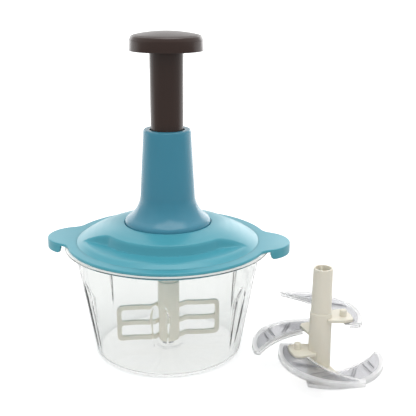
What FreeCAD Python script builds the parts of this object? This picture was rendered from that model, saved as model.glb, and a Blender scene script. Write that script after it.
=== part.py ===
"""Hand-press food chopper: bowl, lid with plunger drive, whisk, and a blade unit in its guards.

Millimetres. The origin is the centre of the bowl's flat base, +Z is up, and the bowl's front is
towards -Y. The blade unit stands beside the bowl.
"""
import FreeCAD, Part
import math
import os

os.makedirs("parts", exist_ok=True)
V = FreeCAD.Vector
AXIS_Z = V(0, 0, 1)

# ---------------------------------------------------------------- clearances
SEAT_GAP = 0.3            # between a loose piece and what it rests on
RUNNING_GAP = 0.06        # radial, shaft in a bush
SLIDING_GAP = 0.4         # radial, plunger in its guide
CUT_OVERRUN = 1.0         # how far a cutting tool runs past a face

# ---------------------------------------------------------------- bowl
BOWL_FOOT_R = 61.1        # outside, where the wall meets the base
BOWL_DRAFT = 0.176        # widening of the wall per millimetre of height
BOWL_WALL = 2.0
BOWL_FLOOR = 2.4
BOWL_FOOT_ROUND = 4.0
BOWL_RIM_WIDTH = 7.6      # how far the rim turns out
BOWL_RIM_TOP = 94.8
BOWL_RIM_THICK = 2.0
BOWL_EDGE_ROUND = 0.8

FLUTE_COUNT = 6
FLUTE_START_DEG = -95.5   # azimuth of the front flute, from +X
FLUTE_APEX_Z = 69.0
FLUTE_DEEPEST_Z = 57.0
FLUTE_END_Z = 14.0
FLUTE_R = 6.0             # radius of the hollow
FLUTE_DEPTH = 4.4

PEDESTAL_R = 13.5
PEDESTAL_TOP_R = 11.0
PEDESTAL_HEIGHT = 1.6     # above the bowl's floor
BOSS_R = 5.5
BOSS_HEIGHT = 4.1         # above the bowl's floor
PIN_R = 3.0
PIN_ROOT_Z = 1.2
PIN_LENGTH = 36.0

# ---------------------------------------------------------------- lid
LID_TURN_DEG = -7.3       # how far the lid is turned on the bowl
LID_RIM_STEP = 2.0        # how far the bowl's rim shows outside the lid's flange
LID_FLANGE_WIDTH = 8.4    # from the dome's foot to the flange's edge
LID_FLANGE_THICK = 2.0
LID_WALL = 2.2
SKIRT_DEPTH = 6.6         # below the flange's underside
SKIRT_WALL = 2.0
SKIRT_GAP = 0.6           # between the skirt and the bowl's wall
DOME_RISE = 15.0          # above the flange's top
DOME_BULGE = 2.7          # how far the dome's curve stands off its chord
DOME_EDGE = 1.1           # width of the dome's flat edge round the recess
DOME_FOOT_ROUND = 1.5
RECESS_EDGE_ROUND = 0.9
FLANGE_EDGE_ROUND = 0.7
RECESS_R = 35.8
RECESS_DEPTH = 1.4
WELL_R = 20.0
WELL_WALL = 2.0
WELL_FLOOR = 2.0
WELL_DEPTH = 13.7         # from the recess to the well's floor

EAR_R = 24.5
EAR_INSET = 6.5           # how far an ear's centre lies inside the flange's edge
EAR_BLEND = 12.0
EAR_LIP_DEPTH = 8.5       # below the flange's top
EAR_LIP_WALL = 2.0
EAR_LIP_HALF_DEG = 68.0
EAR_LIP_ROUND = 4.0

POCKET_EDGE = 4.8         # from the dome's foot to the pocket's floor
POCKET_WIDTH = 14.6       # at the floor
POCKET_FLOOR_RISE = 3.3   # the floor's height over the flange's top
POCKET_DRAFT = 0.18       # widening of the pocket per millimetre of height
POCKET_HALF_DEG = 58.0    # to the centre of the rounded end

# ---------------------------------------------------------------- tower
TOWER_HEIGHT = 78.3       # over the floor of the recess
TOWER_TOP_WALL = 2.9
TOWER_WAIST_WALL = 5.5    # where the shaft of the tower starts to flare
TOWER_WAIST_HEIGHT = 25.3
TOWER_FLARE_WALL = 8.2
TOWER_FLARE_HEIGHT = 12.1
TOWER_FOOT_SLOPE = 4.5    # width of the foot's rounded edge
TOWER_FOOT_SLOPE_HEIGHT = 5.9
TOWER_FOOT_BULGE = 0.8    # how far that edge stands off its chord
TOWER_FOOT_GAP = 0.5      # between the tower's foot and the edge of the recess
TOWER_FOOT_RIM = 1.6      # upright edge of the foot
TOWER_MOUTH_GAP = 0.7     # how much wider the mouth is than the guide
TOWER_MOUTH_LENGTH = 3.0
TOWER_FOOT_HOLLOW = 8.0   # height of the wide hollow in the foot
TOWER_HOLLOW_SLOPE = 2.0  # height of its sloping roof
TOWER_TOP_ROUND = 2.2
TOWER_SCREW_COUNT = 3
TOWER_SCREW_CIRCLE_R = 25.5
TOWER_SCREW_LENGTH = 8.0

# ---------------------------------------------------------------- plunger
STROKE = 58.0
PLUNGER_R = 12.2          # at the flange
PLUNGER_TAPER = 0.0035    # widening of the tube per millimetre of height
PLUNGER_BORE_R = 10.3
PLUNGER_FLANGE = 2.8      # how far the flange stands out
PLUNGER_FLANGE_THICK = 4.0
PLUNGER_CROWN = 3.0       # thickness of the closed upper end

KNOB_STOP_GAP = 3.7       # left between knob and tower at the end of the stroke
KNOB_R = 27.5
KNOB_SIDE = 9.4           # height of the knob's upright side
KNOB_SHOULDER = 2.3       # width of the rounding round the knob's top
KNOB_HEIGHT = 11.5
KNOB_DRAFT = 0.5          # how much narrower the side is at its top
KNOB_SHOULDER_BULGE = 0.6  # how far the rounding stands off its chord
KNOB_SOCKET = 5.3         # how far the plunger tube reaches into the knob
KNOB_WALL = 2.4
KNOB_HUB_WALL = 3.0
KNOB_CAP_EDGE = 0.6       # rim of the knob round its cap
KNOB_CAP_RISE = 3.4
KNOB_CAP_THICK = 2.0
KNOB_EDGE_ROUND = 1.0

NUT_HEIGHT = 8.0
NUT_FLANGE_R = 11.2
NUT_FLANGE = 1.8
RETAINER_BORE_R = 6.6
RETAINER_THICK = 1.5
RETAINER_SCREW_COUNT = 3
RETAINER_SCREW_CIRCLE_R = 12.8
RETAINER_SCREW_LENGTH = 4.6

# ---------------------------------------------------------------- drive
TWIST_LEAD = 30.0
TWIST_WIDTH = 8.4
TWIST_THICK = 3.6
TWIST_GAP = 0.3
SPINDLE_OVERREACH = 9.0   # how far the spindle passes the nut, at rest
SPINDLE_JOURNAL_R = 4.0
SPINDLE_COLLAR_R = 6.6
SPINDLE_COLLAR = 2.0
BUSH_R = 6.5
BUSH_FLANGE_R = 7.4
BUSH_FLANGE = 1.5
WASHER_R = 7.2
WASHER_THICK = 0.8
SEAT_WIDTH = 3.3
SEAT_THICK = 0.8
SPRING_INSET = 0.7        # from the seat's bore to the inside of the spring
SPRING_SPARE = 0.7        # room left when the spring is fully pressed
SPRING_WIRE_R = 0.5
SPRING_TURNS = 7

COUPLING_R = 5.8
COUPLING_LENGTH = 12.0
COUPLING_HOLE_DEPTH = 8.0
SPLINE_COUNT = 4
SPLINE_R = 6.4
SPLINE_WIDTH = 1.8
SPLINE_GAP = 0.1

# ---------------------------------------------------------------- screws
SCREW_R = 1.4
SMALL_SCREW_R = 0.9
SCREW_HEAD_RATIO = 1.8    # head radius over shank radius
SCREW_HEAD = 1.5
SCREW_SLOT_WIDTH = 0.7
SCREW_SLOT_DEPTH = 0.7

# ---------------------------------------------------------------- whisk
WHISK_FOOT_R = 9.1
WHISK_NECK_R = 8.0
WHISK_TOP_GAP = 0.9       # between the whisk and the floor of the well
WHISK_STEP_Z = 60.0
WHISK_TURN_DEG = 9.4
SOCKET_SPARE = 6.0        # depth of the socket past the coupling
SOCKET_WALL = 1.0
PADDLE_REACH = 44.3
PADDLE_LOW_Z = 7.8
PADDLE_HIGH_Z = 39.4
PADDLE_BAR = 3.9
PADDLE_POST = 3.8
PADDLE_THICK = 2.6
PADDLE_ROUND = 4.5
PADDLE_WINDOW_ROUND = 2.0
PADDLE_WINDOW_START = 5.0  # from the shaft's axis, inside the shaft
PADDLE_WAVE = 2.2         # how far the bars swing to each side near the shaft
WHISK_EDGE_ROUND = 0.8

# ---------------------------------------------------------------- blade unit
UNIT_STAND_OFF = 47.1     # from the bowl's rim to the hub's axis
UNIT_AZIMUTH_DEG = -24.8
HUB_FOOT_R = 9.15
HUB_STEP_Z = 53.0
HUB_STEP_R = 8.6
HUB_NECK_R = 8.0
BLADE_1_LEVEL = 4.7
BLADE_2_LEVEL = 18.0
BLADE_3_LEVEL = 30.7
BLADE_4_LEVEL = 46.6
BLADE_FIRST_DEG = 270.0
BLADE_STEP_DEG = -90.0
BLADE_THICK = 0.8
BLADE_BEVEL = 2.4             # width of the ground edge
BLADE_BEVEL_DEPTH = 0.48
BLADE_BACK_R = 45.3           # radius of the convex side
BLADE_BACK_REACH = 30.3       # from the hub's axis out to the convex side, along the arm
BLADE_BACK_Y = 7.0            # how far that side's centre lies beside the arm's middle
BLADE_WIDTH = 18.4            # at its widest
BLADE_WIDEST_DEG = 26.7       # azimuth of the widest place, seen from the centre
BLADE_BELLY_R = 74.5          # radius of the hollow side
BLADE_TIP_DEG = 92.7          # azimuth of the tip, seen from the centre
BLADE_TIP_INSET = 1.3         # from the convex side to the centre of the tip's rounding
BLADE_TIP_R = 3.0
BLADE_ROOT = 11.6             # where the root ends, beside the hub's axis
ARM_THICK = 2.5
ARM_ROOT = 8.9                # half width at the shaft
ARM_WIDEST_X = 17.0           # where the arm is widest
ARM_LOW = 10.0                # half width there, on the root's side
ARM_HIGH = 13.0               # and on the tip's side
ARM_REACH = 24.5
ARM_END_LOW = 7.5             # half width of the arm's end
ARM_END_HIGH = 1.5
ARM_SHOULDER = 3.0            # how far the shoulder lies back from the end
ARM_ROUND = 2.2
PEG_X = 17.5
PEG_Y = -0.6
PEG_R = 2.8
PEG_HEIGHT = 5.1
PEG_ROUND = 0.6
STAKE_R = 1.8
STAKE_HEAD_R = 3.0
STAKE_HEAD = 0.5
STAKE_X = 19.0                # the second stake; the first is under the peg
STAKE_Y = 8.0

GUARD_GAP = 0.3           # between the blade's faces and the guard's plates
GUARD_PLATE = 1.2
GUARD_RIM = 1.3
GUARD_MARGIN = 1.9        # how far the guard stands off the blade's edges
GUARD_TIP_MARGIN = 4.9    # and off its tip
GUARD_NOTCH_GAP = 0.6     # round the arm
GUARD_PULL_DEG = 45.0     # the way a guard comes off, for a blade whose arm points along +X


# ---------------------------------------------------------------- worked out from the sizes above
def bowl_outer_r(z):
    """Outside radius of the bowl's wall."""
    return BOWL_FOOT_R + BOWL_DRAFT * z


FLOOR_Z = BOWL_FLOOR
BOWL_RIM_UNDER_Z = BOWL_RIM_TOP - BOWL_RIM_THICK
BOWL_RIM_R = bowl_outer_r(BOWL_RIM_UNDER_Z) + BOWL_RIM_WIDTH
PIN_TOP_Z = PIN_ROOT_Z + PIN_LENGTH

FLANGE_UNDER_Z = BOWL_RIM_TOP + SEAT_GAP
FLANGE_TOP_Z = FLANGE_UNDER_Z + LID_FLANGE_THICK
LID_FLANGE_R = BOWL_RIM_R - LID_RIM_STEP
DOME_FOOT_R = LID_FLANGE_R - LID_FLANGE_WIDTH
DOME_TOP_Z = FLANGE_TOP_Z + DOME_RISE
RECESS_Z = DOME_TOP_Z - RECESS_DEPTH
EAR_OFFSET = LID_FLANGE_R - EAR_INSET
POCKET_MIDDLE_R = DOME_FOOT_R - POCKET_EDGE - POCKET_WIDTH / 2
WELL_TOP_Z = RECESS_Z - WELL_DEPTH
WELL_FLOOR_Z = WELL_TOP_Z - WELL_FLOOR

COLLAR_Z = WELL_TOP_Z + BUSH_FLANGE + WASHER_THICK
TWIST_START_Z = COLLAR_Z + SPINDLE_COLLAR
COUPLING_TOP_Z = WELL_FLOOR_Z - SEAT_GAP
SEAT_TOP_Z = WELL_TOP_Z + SEAT_THICK
SEAT_BORE_R = BUSH_FLANGE_R + SEAT_GAP
SPRING_R = SEAT_BORE_R + SPRING_INSET + SPRING_WIRE_R
SPRING_SOLID = 2 * SPRING_WIRE_R * (SPRING_TURNS + 1)
RETAINER_Z = SEAT_TOP_Z + SPRING_SOLID + SPRING_SPARE + STROKE
PLUNGER_FOOT_Z = RETAINER_Z + RETAINER_THICK
PLUNGER_FLANGE_R = PLUNGER_R + PLUNGER_FLANGE
SPINDLE_TOP_Z = PLUNGER_FOOT_Z + NUT_HEIGHT + SPINDLE_OVERREACH

TOWER_BORE_R = PLUNGER_FLANGE_R + SLIDING_GAP
TOWER_FOOT_R = RECESS_R - TOWER_FOOT_GAP
TOWER_TOP_Z = RECESS_Z + TOWER_HEIGHT
GUIDE_TOP_Z = TOWER_TOP_Z - TOWER_MOUTH_LENGTH
GUIDE_BOTTOM_Z = PLUNGER_FOOT_Z + PLUNGER_FLANGE_THICK + SEAT_GAP
KNOB_UNDER_Z = TOWER_TOP_Z + STROKE + KNOB_STOP_GAP
KNOB_SHOULDER_Z = KNOB_UNDER_Z + KNOB_HEIGHT
KNOB_SHOULDER_R = KNOB_R - KNOB_SHOULDER
KNOB_CAP_R = KNOB_SHOULDER_R - KNOB_CAP_EDGE
CAP_REST_Z = KNOB_SHOULDER_Z - KNOB_CAP_THICK
PLUNGER_TOP_Z = KNOB_UNDER_Z + KNOB_SOCKET


def plunger_r(z):
    """Outside radius of the plunger tube."""
    return PLUNGER_R + PLUNGER_TAPER * (z - PLUNGER_FOOT_Z)


GUIDE_BORE_R = plunger_r(KNOB_UNDER_Z) + SLIDING_GAP
TOWER_MOUTH_R = GUIDE_BORE_R + TOWER_MOUTH_GAP

SOCKET_R = COUPLING_R + SPLINE_GAP
SOCKET_SPLINE_R = SPLINE_R + SPLINE_GAP
SOCKET_DEPTH = COUPLING_LENGTH + SOCKET_SPARE
SHAFT_TOP_R = SOCKET_SPLINE_R + SOCKET_WALL
WHISK_FOOT_Z = FLOOR_Z + BOSS_HEIGHT + SEAT_GAP
WHISK_TOP_Z = WELL_FLOOR_Z - WHISK_TOP_GAP
HUB_FOOT_RECESS = BOSS_HEIGHT - PEDESTAL_HEIGHT
HUB_SEAT_Z = WHISK_FOOT_Z - HUB_FOOT_RECESS
HUB_TOP_Z = WHISK_TOP_Z - HUB_SEAT_Z
UNIT_POS = V((BOWL_RIM_R + UNIT_STAND_OFF) * math.cos(math.radians(UNIT_AZIMUTH_DEG)),
             (BOWL_RIM_R + UNIT_STAND_OFF) * math.sin(math.radians(UNIT_AZIMUTH_DEG)), 0)

BLADE_LEVELS = (BLADE_1_LEVEL, BLADE_2_LEVEL, BLADE_3_LEVEL, BLADE_4_LEVEL)
BLADE_BACK = V(BLADE_BACK_REACH - BLADE_BACK_R, BLADE_BACK_Y, 0)
ARM_OUTLINE = (V(0, -ARM_ROOT, 0), V(ARM_WIDEST_X, -ARM_LOW, 0), V(ARM_REACH, -ARM_END_LOW, 0),
               V(ARM_REACH, ARM_END_HIGH, 0), V(ARM_REACH - ARM_SHOULDER, ARM_HIGH - ARM_END_HIGH, 0),
               V(ARM_WIDEST_X, ARM_HIGH, 0), V(0, ARM_ROOT, 0))
PEG_POS = V(PEG_X, PEG_Y, 0)
STAKE_POINTS = (PEG_POS, V(STAKE_X, STAKE_Y, 0))


# ---------------------------------------------------------------- helpers
def polar(r, deg, z=0.0):
    """Point at radius r and azimuth deg."""
    return V(r * math.cos(math.radians(deg)), r * math.sin(math.radians(deg)), z)


def turned(shape, deg):
    """Copy of a shape turned about the Z axis."""
    copy = shape.copy()
    copy.rotate(V(0, 0, 0), AXIS_Z, deg)
    return copy


def moved(shape, offset):
    """Copy of a shape moved by a vector."""
    copy = shape.copy()
    copy.translate(offset)
    return copy


def rod(r, z0, z1, at=V(0, 0, 0)):
    """Upright cylinder from z0 to z1."""
    return Part.makeCylinder(r, z1 - z0, V(at.x, at.y, z0))


def cone(r0, r1, z0, z1):
    """Upright cone frustum from z0 to z1."""
    return Part.makeCone(r0, r1, z1 - z0, V(0, 0, z0))


def ring(r_out, r_in, z0, z1):
    """Upright tube from z0 to z1."""
    return rod(r_out, z0, z1).cut(rod(r_in, z0 - CUT_OVERRUN, z1 + CUT_OVERRUN))


def lathe(outline):
    """Solid turned about Z from (r, z) points; a pair of points is an arc's middle and end."""
    edges = []
    last = None
    for item in outline:
        if isinstance(item[0], tuple):
            middle, end = (V(r, 0, z) for r, z in item)
            edges.append(Part.Arc(last, middle, end).toShape())
            last = end
        else:
            point = V(item[0], 0, item[1])
            if last is not None:
                edges.append(Part.makeLine(last, point))
            last = point
    first = edges[0].Vertexes[0].Point
    if last.distanceToPoint(first) > 1e-6:
        edges.append(Part.makeLine(last, first))
    face = Part.Face(Part.Wire(edges))
    return face.revolve(V(0, 0, 0), AXIS_Z, 360)


def arc_middle(start, end, bulge):
    """Point that stands off the middle of a chord in (r, z) by bulge, to the chord's left."""
    r, z = end[0] - start[0], end[1] - start[1]
    share = bulge / math.hypot(r, z)
    return ((start[0] + end[0]) / 2 - z * share, (start[1] + end[1]) / 2 + r * share)


def prism(points, z0, z1):
    """Upright prism over a closed polygon."""
    wire = Part.makePolygon([V(p.x, p.y, z0) for p in points] + [V(points[0].x, points[0].y, z0)])
    return Part.Face(wire).extrude(V(0, 0, z1 - z0))


def fused(shapes):
    """One solid from touching shapes."""
    whole = shapes[0].fuse(shapes[1:])
    return whole.removeSplitter()


def rounded(shape, radius, chosen):
    """Shape with the edges picked by a test on each edge rounded."""
    return shape.makeFillet(radius, [edge for edge in shape.Edges if chosen(edge)])


def upright(edge):
    """True for a straight edge along Z."""
    ends = [vertex.Point for vertex in edge.Vertexes]
    return len(ends) == 2 and abs(ends[0].x - ends[1].x) + abs(ends[0].y - ends[1].y) < 1e-6


def circle_edge(edge, r, z):
    """True for a circular edge about Z of radius r at height z."""
    curve = edge.Curve
    return (isinstance(curve, Part.Circle) and abs(curve.Radius - r) < 1e-3
            and abs(curve.Center.z - z) < 1e-3 and abs(curve.Center.x) + abs(curve.Center.y) < 1e-3)


def export(name, shape):
    """Write one node, after a check that each of its solids is sound."""
    for solid in shape.Solids:
        if not solid.isValid() or not solid.isClosed():
            raise ValueError(name + " is not a sound solid")
    shape.exportStep("parts/" + name + ".step")
    print(name, len(shape.Solids), round(shape.Volume, 1))


# ---------------------------------------------------------------- shared shapes
def screw(r, length):
    """Slotted pan-head screw: head below z = 0, shank up to z = length."""
    head_r = r * SCREW_HEAD_RATIO
    slot = Part.makeBox(2 * head_r, SCREW_SLOT_WIDTH, SCREW_SLOT_DEPTH,
                        V(-head_r, -SCREW_SLOT_WIDTH / 2, -SCREW_HEAD))
    return fused([rod(head_r, -SCREW_HEAD, 0), rod(r, 0, length)]).cut(slot)


def on_circle(shape, count, r, z, start=0.0):
    """Copies of a shape spread on a circle."""
    return [moved(shape, polar(r, start + 360.0 * i / count, z)) for i in range(count)]


def splined(r, spline_r, width, z0, z1):
    """Round bar with splines; also the cutter for its socket."""
    key = Part.makeBox(spline_r, width, z1 - z0, V(0, -width / 2, z0))
    keys = [turned(key, 360.0 * i / SPLINE_COUNT) for i in range(SPLINE_COUNT)]
    limit = rod(spline_r, z0, z1)
    return fused([rod(r, z0, z1)] + [limit.common(k) for k in keys])


def drive_socket(top_z):
    """Cutter for the splined socket in the top of a whisk or blade shaft."""
    return splined(SOCKET_R, SOCKET_SPLINE_R, SPLINE_WIDTH + 2 * SPLINE_GAP,
                   top_z - SOCKET_DEPTH, top_z + CUT_OVERRUN)


def twisted_bar(extra, z0, z1):
    """Flat bar twisted about Z with the drive's lead, grown by extra on every side."""
    width = TWIST_WIDTH + 2 * extra
    thick = TWIST_THICK + 2 * extra
    start = 360.0 * (z0 - TWIST_START_Z) / TWIST_LEAD
    flat = Part.makePolygon([V(-width / 2, -thick / 2, 0), V(width / 2, -thick / 2, 0),
                             V(width / 2, thick / 2, 0), V(-width / 2, thick / 2, 0),
                             V(-width / 2, -thick / 2, 0)])
    flat.rotate(V(0, 0, 0), AXIS_Z, start)
    spine = Part.Wire([Part.makeLine(V(0, 0, 0), V(0, 0, z1 - z0))])
    guide = Part.Wire(Part.makeHelix(TWIST_LEAD, z1 - z0, width))
    sweep = Part.BRepOffsetAPI.MakePipeShell(spine)
    sweep.setAuxiliarySpine(guide, True, 0)
    sweep.add(flat, False, False)
    sweep.build()
    sweep.makeSolid()
    return moved(sweep.shape(), V(0, 0, z0))


# ---------------------------------------------------------------- bowl
def flute(grow):
    """Cutter for one hollow in the bowl's wall, at azimuth 0, grown by grow."""
    r = FLUTE_R + grow
    deep = V(bowl_outer_r(FLUTE_DEEPEST_Z) - FLUTE_DEPTH + FLUTE_R, 0, FLUTE_DEEPEST_Z)
    shapes = [Part.makeSphere(r, deep)]
    for end_z in (FLUTE_APEX_Z, FLUTE_END_Z):
        leave = V(bowl_outer_r(end_z) + FLUTE_R, 0, end_z)
        along = leave - deep
        shapes.append(Part.makeCylinder(r, along.Length + CUT_OVERRUN, deep, along))
    return shapes[0].fuse(shapes[1:])


def make_bowl():
    """Clear bowl: drafted wall, turned-out rim, six hollows, and the boss for the pin."""
    corner = BOWL_FOOT_ROUND * (1 - math.sqrt(0.5))
    outer = lathe([(0, 0), (BOWL_FOOT_R - BOWL_FOOT_ROUND, 0),
                   ((bowl_outer_r(corner) - corner, corner),
                    (bowl_outer_r(BOWL_FOOT_ROUND), BOWL_FOOT_ROUND)),
                   (bowl_outer_r(BOWL_RIM_UNDER_Z), BOWL_RIM_UNDER_Z), (BOWL_RIM_R, BOWL_RIM_UNDER_Z),
                   (BOWL_RIM_R, BOWL_RIM_TOP), (0, BOWL_RIM_TOP)])
    outer = rounded(outer, BOWL_EDGE_ROUND, lambda e: circle_edge(e, BOWL_RIM_R, BOWL_RIM_TOP)
                    or circle_edge(e, BOWL_RIM_R, BOWL_RIM_UNDER_Z))
    low = FLOOR_Z + BOWL_FOOT_ROUND
    inner = lathe([(0, FLOOR_Z), (bowl_outer_r(FLOOR_Z) - BOWL_WALL - BOWL_FOOT_ROUND, FLOOR_Z),
                   ((bowl_outer_r(FLOOR_Z + corner) - BOWL_WALL - corner, FLOOR_Z + corner),
                    (bowl_outer_r(low) - BOWL_WALL, low)),
                   (bowl_outer_r(BOWL_RIM_TOP) - BOWL_WALL, BOWL_RIM_TOP),
                   (bowl_outer_r(BOWL_RIM_TOP) - BOWL_WALL, BOWL_RIM_TOP + CUT_OVERRUN),
                   (0, BOWL_RIM_TOP + CUT_OVERRUN)])
    angles = [FLUTE_START_DEG + 360.0 * i / FLUTE_COUNT for i in range(FLUTE_COUNT)]
    outer = outer.cut([turned(flute(0), a) for a in angles])
    inner = inner.cut([turned(flute(BOWL_WALL), a) for a in angles])
    pedestal = cone(PEDESTAL_R, PEDESTAL_TOP_R, FLOOR_Z, FLOOR_Z + PEDESTAL_HEIGHT)
    boss = rod(BOSS_R, FLOOR_Z, FLOOR_Z + BOSS_HEIGHT)
    bowl = fused([outer.cut(inner), pedestal, boss])
    return bowl.cut(rod(PIN_R, PIN_ROOT_Z, PIN_TOP_Z))


def make_pivot_pin():
    """Steel pin that the whisk or the blade unit turns on, with a rounded top."""
    pin = rod(PIN_R, PIN_ROOT_Z, PIN_TOP_Z)
    return rounded(pin, PIN_R / 3, lambda e: circle_edge(e, PIN_R, PIN_TOP_Z))


# ---------------------------------------------------------------- lid
def skirt_r(z):
    """Outside radius of the lid's skirt."""
    return bowl_outer_r(z) - BOWL_WALL - SKIRT_GAP


def dome_arc(inset):
    """Start, middle and end of the dome's curve in (r, z), moved inwards by inset."""
    top = (RECESS_R + DOME_EDGE, DOME_TOP_Z)
    foot = (DOME_FOOT_R, FLANGE_TOP_Z)
    points = [V(r, 0, z) for r, z in (top, arc_middle(top, foot, DOME_BULGE), foot)]
    arc = Part.Arc(*points).toShape().Curve
    share = (arc.Radius - inset) / arc.Radius
    return [(p.x, p.z) for p in (arc.Center + (point - arc.Center) * share for point in points)]


def pocket(grow):
    """Cutter for the front finger pocket: a drafted ring segment with round ends, grown by grow."""
    bottom = FLANGE_TOP_Z + POCKET_FLOOR_RISE - grow
    top = DOME_TOP_Z + CUT_OVERRUN
    middle = POCKET_MIDDLE_R
    half_low = POCKET_WIDTH / 2 + grow * (math.sqrt(1 + POCKET_DRAFT ** 2) - POCKET_DRAFT)
    half_high = half_low + POCKET_DRAFT * (top - bottom)
    section = Part.makePolygon([V(middle - half_low, 0, bottom), V(middle + half_low, 0, bottom),
                                V(middle + half_high, 0, top), V(middle - half_high, 0, top),
                                V(middle - half_low, 0, bottom)])
    start = turned(Part.Face(section), -90 - POCKET_HALF_DEG)
    segment = start.revolve(V(0, 0, 0), AXIS_Z, 2 * POCKET_HALF_DEG)
    ends = [moved(cone(half_low, half_high, bottom, top), polar(middle, -90 + side * POCKET_HALF_DEG))
            for side in (-1, 1)]
    return fused([segment] + ends)


def flange_plate():
    """Flange of the lid with its two ears, blended into the round."""
    z0 = FLANGE_UNDER_Z
    ears = [rod(EAR_R, z0, FLANGE_TOP_Z, V(side * EAR_OFFSET, 0, 0)) for side in (-1, 1)]
    plate = fused([rod(LID_FLANGE_R, z0, FLANGE_TOP_Z)] + ears)
    plate = rounded(plate, EAR_BLEND, upright)
    top = FLANGE_TOP_Z
    return rounded(plate, FLANGE_EDGE_ROUND,
                   lambda e: abs(e.BoundBox.ZMin - top) < 1e-6 and abs(e.BoundBox.ZMax - top) < 1e-6)


def ear_lip():
    """Turned-down lip round the outer end of the right ear."""
    bottom = FLANGE_TOP_Z - EAR_LIP_DEPTH
    lip = ring(EAR_R, EAR_R - EAR_LIP_WALL, bottom, FLANGE_UNDER_Z)
    reach = 2 * EAR_R
    wedge = prism([V(0, 0, 0), polar(reach, -EAR_LIP_HALF_DEG), polar(reach, 0),
                   polar(reach, EAR_LIP_HALF_DEG)], bottom - CUT_OVERRUN, FLANGE_TOP_Z)
    lip = lip.common(wedge)

    def low_end(edge):
        box = edge.BoundBox
        return box.ZMax - bottom < 1e-6 and abs(edge.Length - EAR_LIP_WALL) < 1e-3

    return moved(rounded(lip, EAR_LIP_ROUND, low_end), V(EAR_OFFSET, 0, 0))


def make_lid():
    """Lid: domed shell with flange, ears, skirt, two finger pockets, tower recess and drive well."""
    skirt_bottom = FLANGE_UNDER_Z - SKIRT_DEPTH
    skirt_inner = skirt_r(skirt_bottom) - SKIRT_WALL
    top, shoulder, foot = dome_arc(0)
    outer = lathe([(0, RECESS_Z), (RECESS_R, RECESS_Z), (RECESS_R, DOME_TOP_Z), top,
                   (shoulder, foot), (LID_FLANGE_R - CUT_OVERRUN, FLANGE_TOP_Z),
                   (LID_FLANGE_R - CUT_OVERRUN, FLANGE_UNDER_Z),
                   (skirt_r(FLANGE_UNDER_Z), FLANGE_UNDER_Z), (skirt_r(skirt_bottom), skirt_bottom),
                   (0, skirt_bottom)])
    outer = rounded(outer, DOME_FOOT_ROUND, lambda e: circle_edge(e, DOME_FOOT_R, FLANGE_TOP_Z))
    outer = rounded(outer, RECESS_EDGE_ROUND, lambda e: circle_edge(e, RECESS_R, DOME_TOP_Z))
    top, shoulder, foot = dome_arc(LID_WALL)
    ceiling = RECESS_Z - LID_WALL
    low = skirt_bottom - CUT_OVERRUN
    inner = lathe([(0, low), (skirt_inner, low), (skirt_inner, FLANGE_UNDER_Z), foot,
                   (shoulder, top), (RECESS_R, ceiling), (WELL_R, ceiling), (WELL_R, WELL_FLOOR_Z),
                   (0, WELL_FLOOR_Z)])
    for turn in (0, 180):
        outer = outer.cut(turned(pocket(0), turn))
        inner = inner.cut(turned(pocket(LID_WALL), turn))
    shell = outer.fuse([flange_plate(), ear_lip(), turned(ear_lip(), 180)])
    lid = shell.cut(inner).cut(rod(WELL_R - WELL_WALL, WELL_TOP_Z, RECESS_Z + CUT_OVERRUN))
    lid = lid.cut(rod(BUSH_R, WELL_FLOOR_Z - CUT_OVERRUN, WELL_TOP_Z + CUT_OVERRUN))
    holes = on_circle(rod(SCREW_R, -CUT_OVERRUN, LID_WALL + CUT_OVERRUN), TOWER_SCREW_COUNT,
                      TOWER_SCREW_CIRCLE_R, ceiling)
    return turned(lid.cut(holes).removeSplitter(), LID_TURN_DEG)


def make_tower():
    """Tower on the lid: flared foot, tapering shaft, and the bore that the plunger runs in."""
    edge_z = RECESS_Z + TOWER_FOOT_RIM
    slope_z = RECESS_Z + TOWER_FOOT_SLOPE_HEIGHT
    slope_r = TOWER_FOOT_R - TOWER_FOOT_SLOPE
    slope_middle = arc_middle((slope_r, slope_z), (TOWER_FOOT_R, edge_z), TOWER_FOOT_BULGE)
    outer = lathe([(0, RECESS_Z), (TOWER_FOOT_R, RECESS_Z), (TOWER_FOOT_R, edge_z),
                   (slope_middle, (slope_r, slope_z)),
                   ((TOWER_BORE_R + TOWER_FLARE_WALL, RECESS_Z + TOWER_FLARE_HEIGHT),
                    (TOWER_BORE_R + TOWER_WAIST_WALL, RECESS_Z + TOWER_WAIST_HEIGHT)),
                   (TOWER_BORE_R + TOWER_TOP_WALL, TOWER_TOP_Z), (0, TOWER_TOP_Z)])
    outer = rounded(outer, TOWER_TOP_ROUND,
                    lambda e: circle_edge(e, TOWER_BORE_R + TOWER_TOP_WALL, TOWER_TOP_Z))
    low = RECESS_Z - CUT_OVERRUN
    hollow = lathe([(0, low), (WELL_R, low),
                    (WELL_R, RECESS_Z + TOWER_FOOT_HOLLOW),
                    (TOWER_BORE_R, RECESS_Z + TOWER_FOOT_HOLLOW + TOWER_HOLLOW_SLOPE),
                    (TOWER_BORE_R, GUIDE_TOP_Z), (TOWER_MOUTH_R, GUIDE_TOP_Z),
                    (TOWER_MOUTH_R, TOWER_TOP_Z + CUT_OVERRUN), (0, TOWER_TOP_Z + CUT_OVERRUN)])
    deep = TOWER_SCREW_LENGTH - LID_WALL
    holes = on_circle(rod(SCREW_R, -CUT_OVERRUN, deep), TOWER_SCREW_COUNT, TOWER_SCREW_CIRCLE_R,
                      RECESS_Z)
    return turned(outer.cut(hollow).cut(holes), LID_TURN_DEG)


def make_tower_screws():
    """Screws from under the lid into the tower's foot."""
    screws = on_circle(screw(SCREW_R, TOWER_SCREW_LENGTH), TOWER_SCREW_COUNT, TOWER_SCREW_CIRCLE_R,
                       RECESS_Z - LID_WALL)
    return turned(Part.makeCompound(screws), LID_TURN_DEG)


def make_plunger_guide():
    """Bush in the tower's neck."""
    return ring(TOWER_BORE_R, GUIDE_BORE_R, GUIDE_BOTTOM_Z, GUIDE_TOP_Z)


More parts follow.
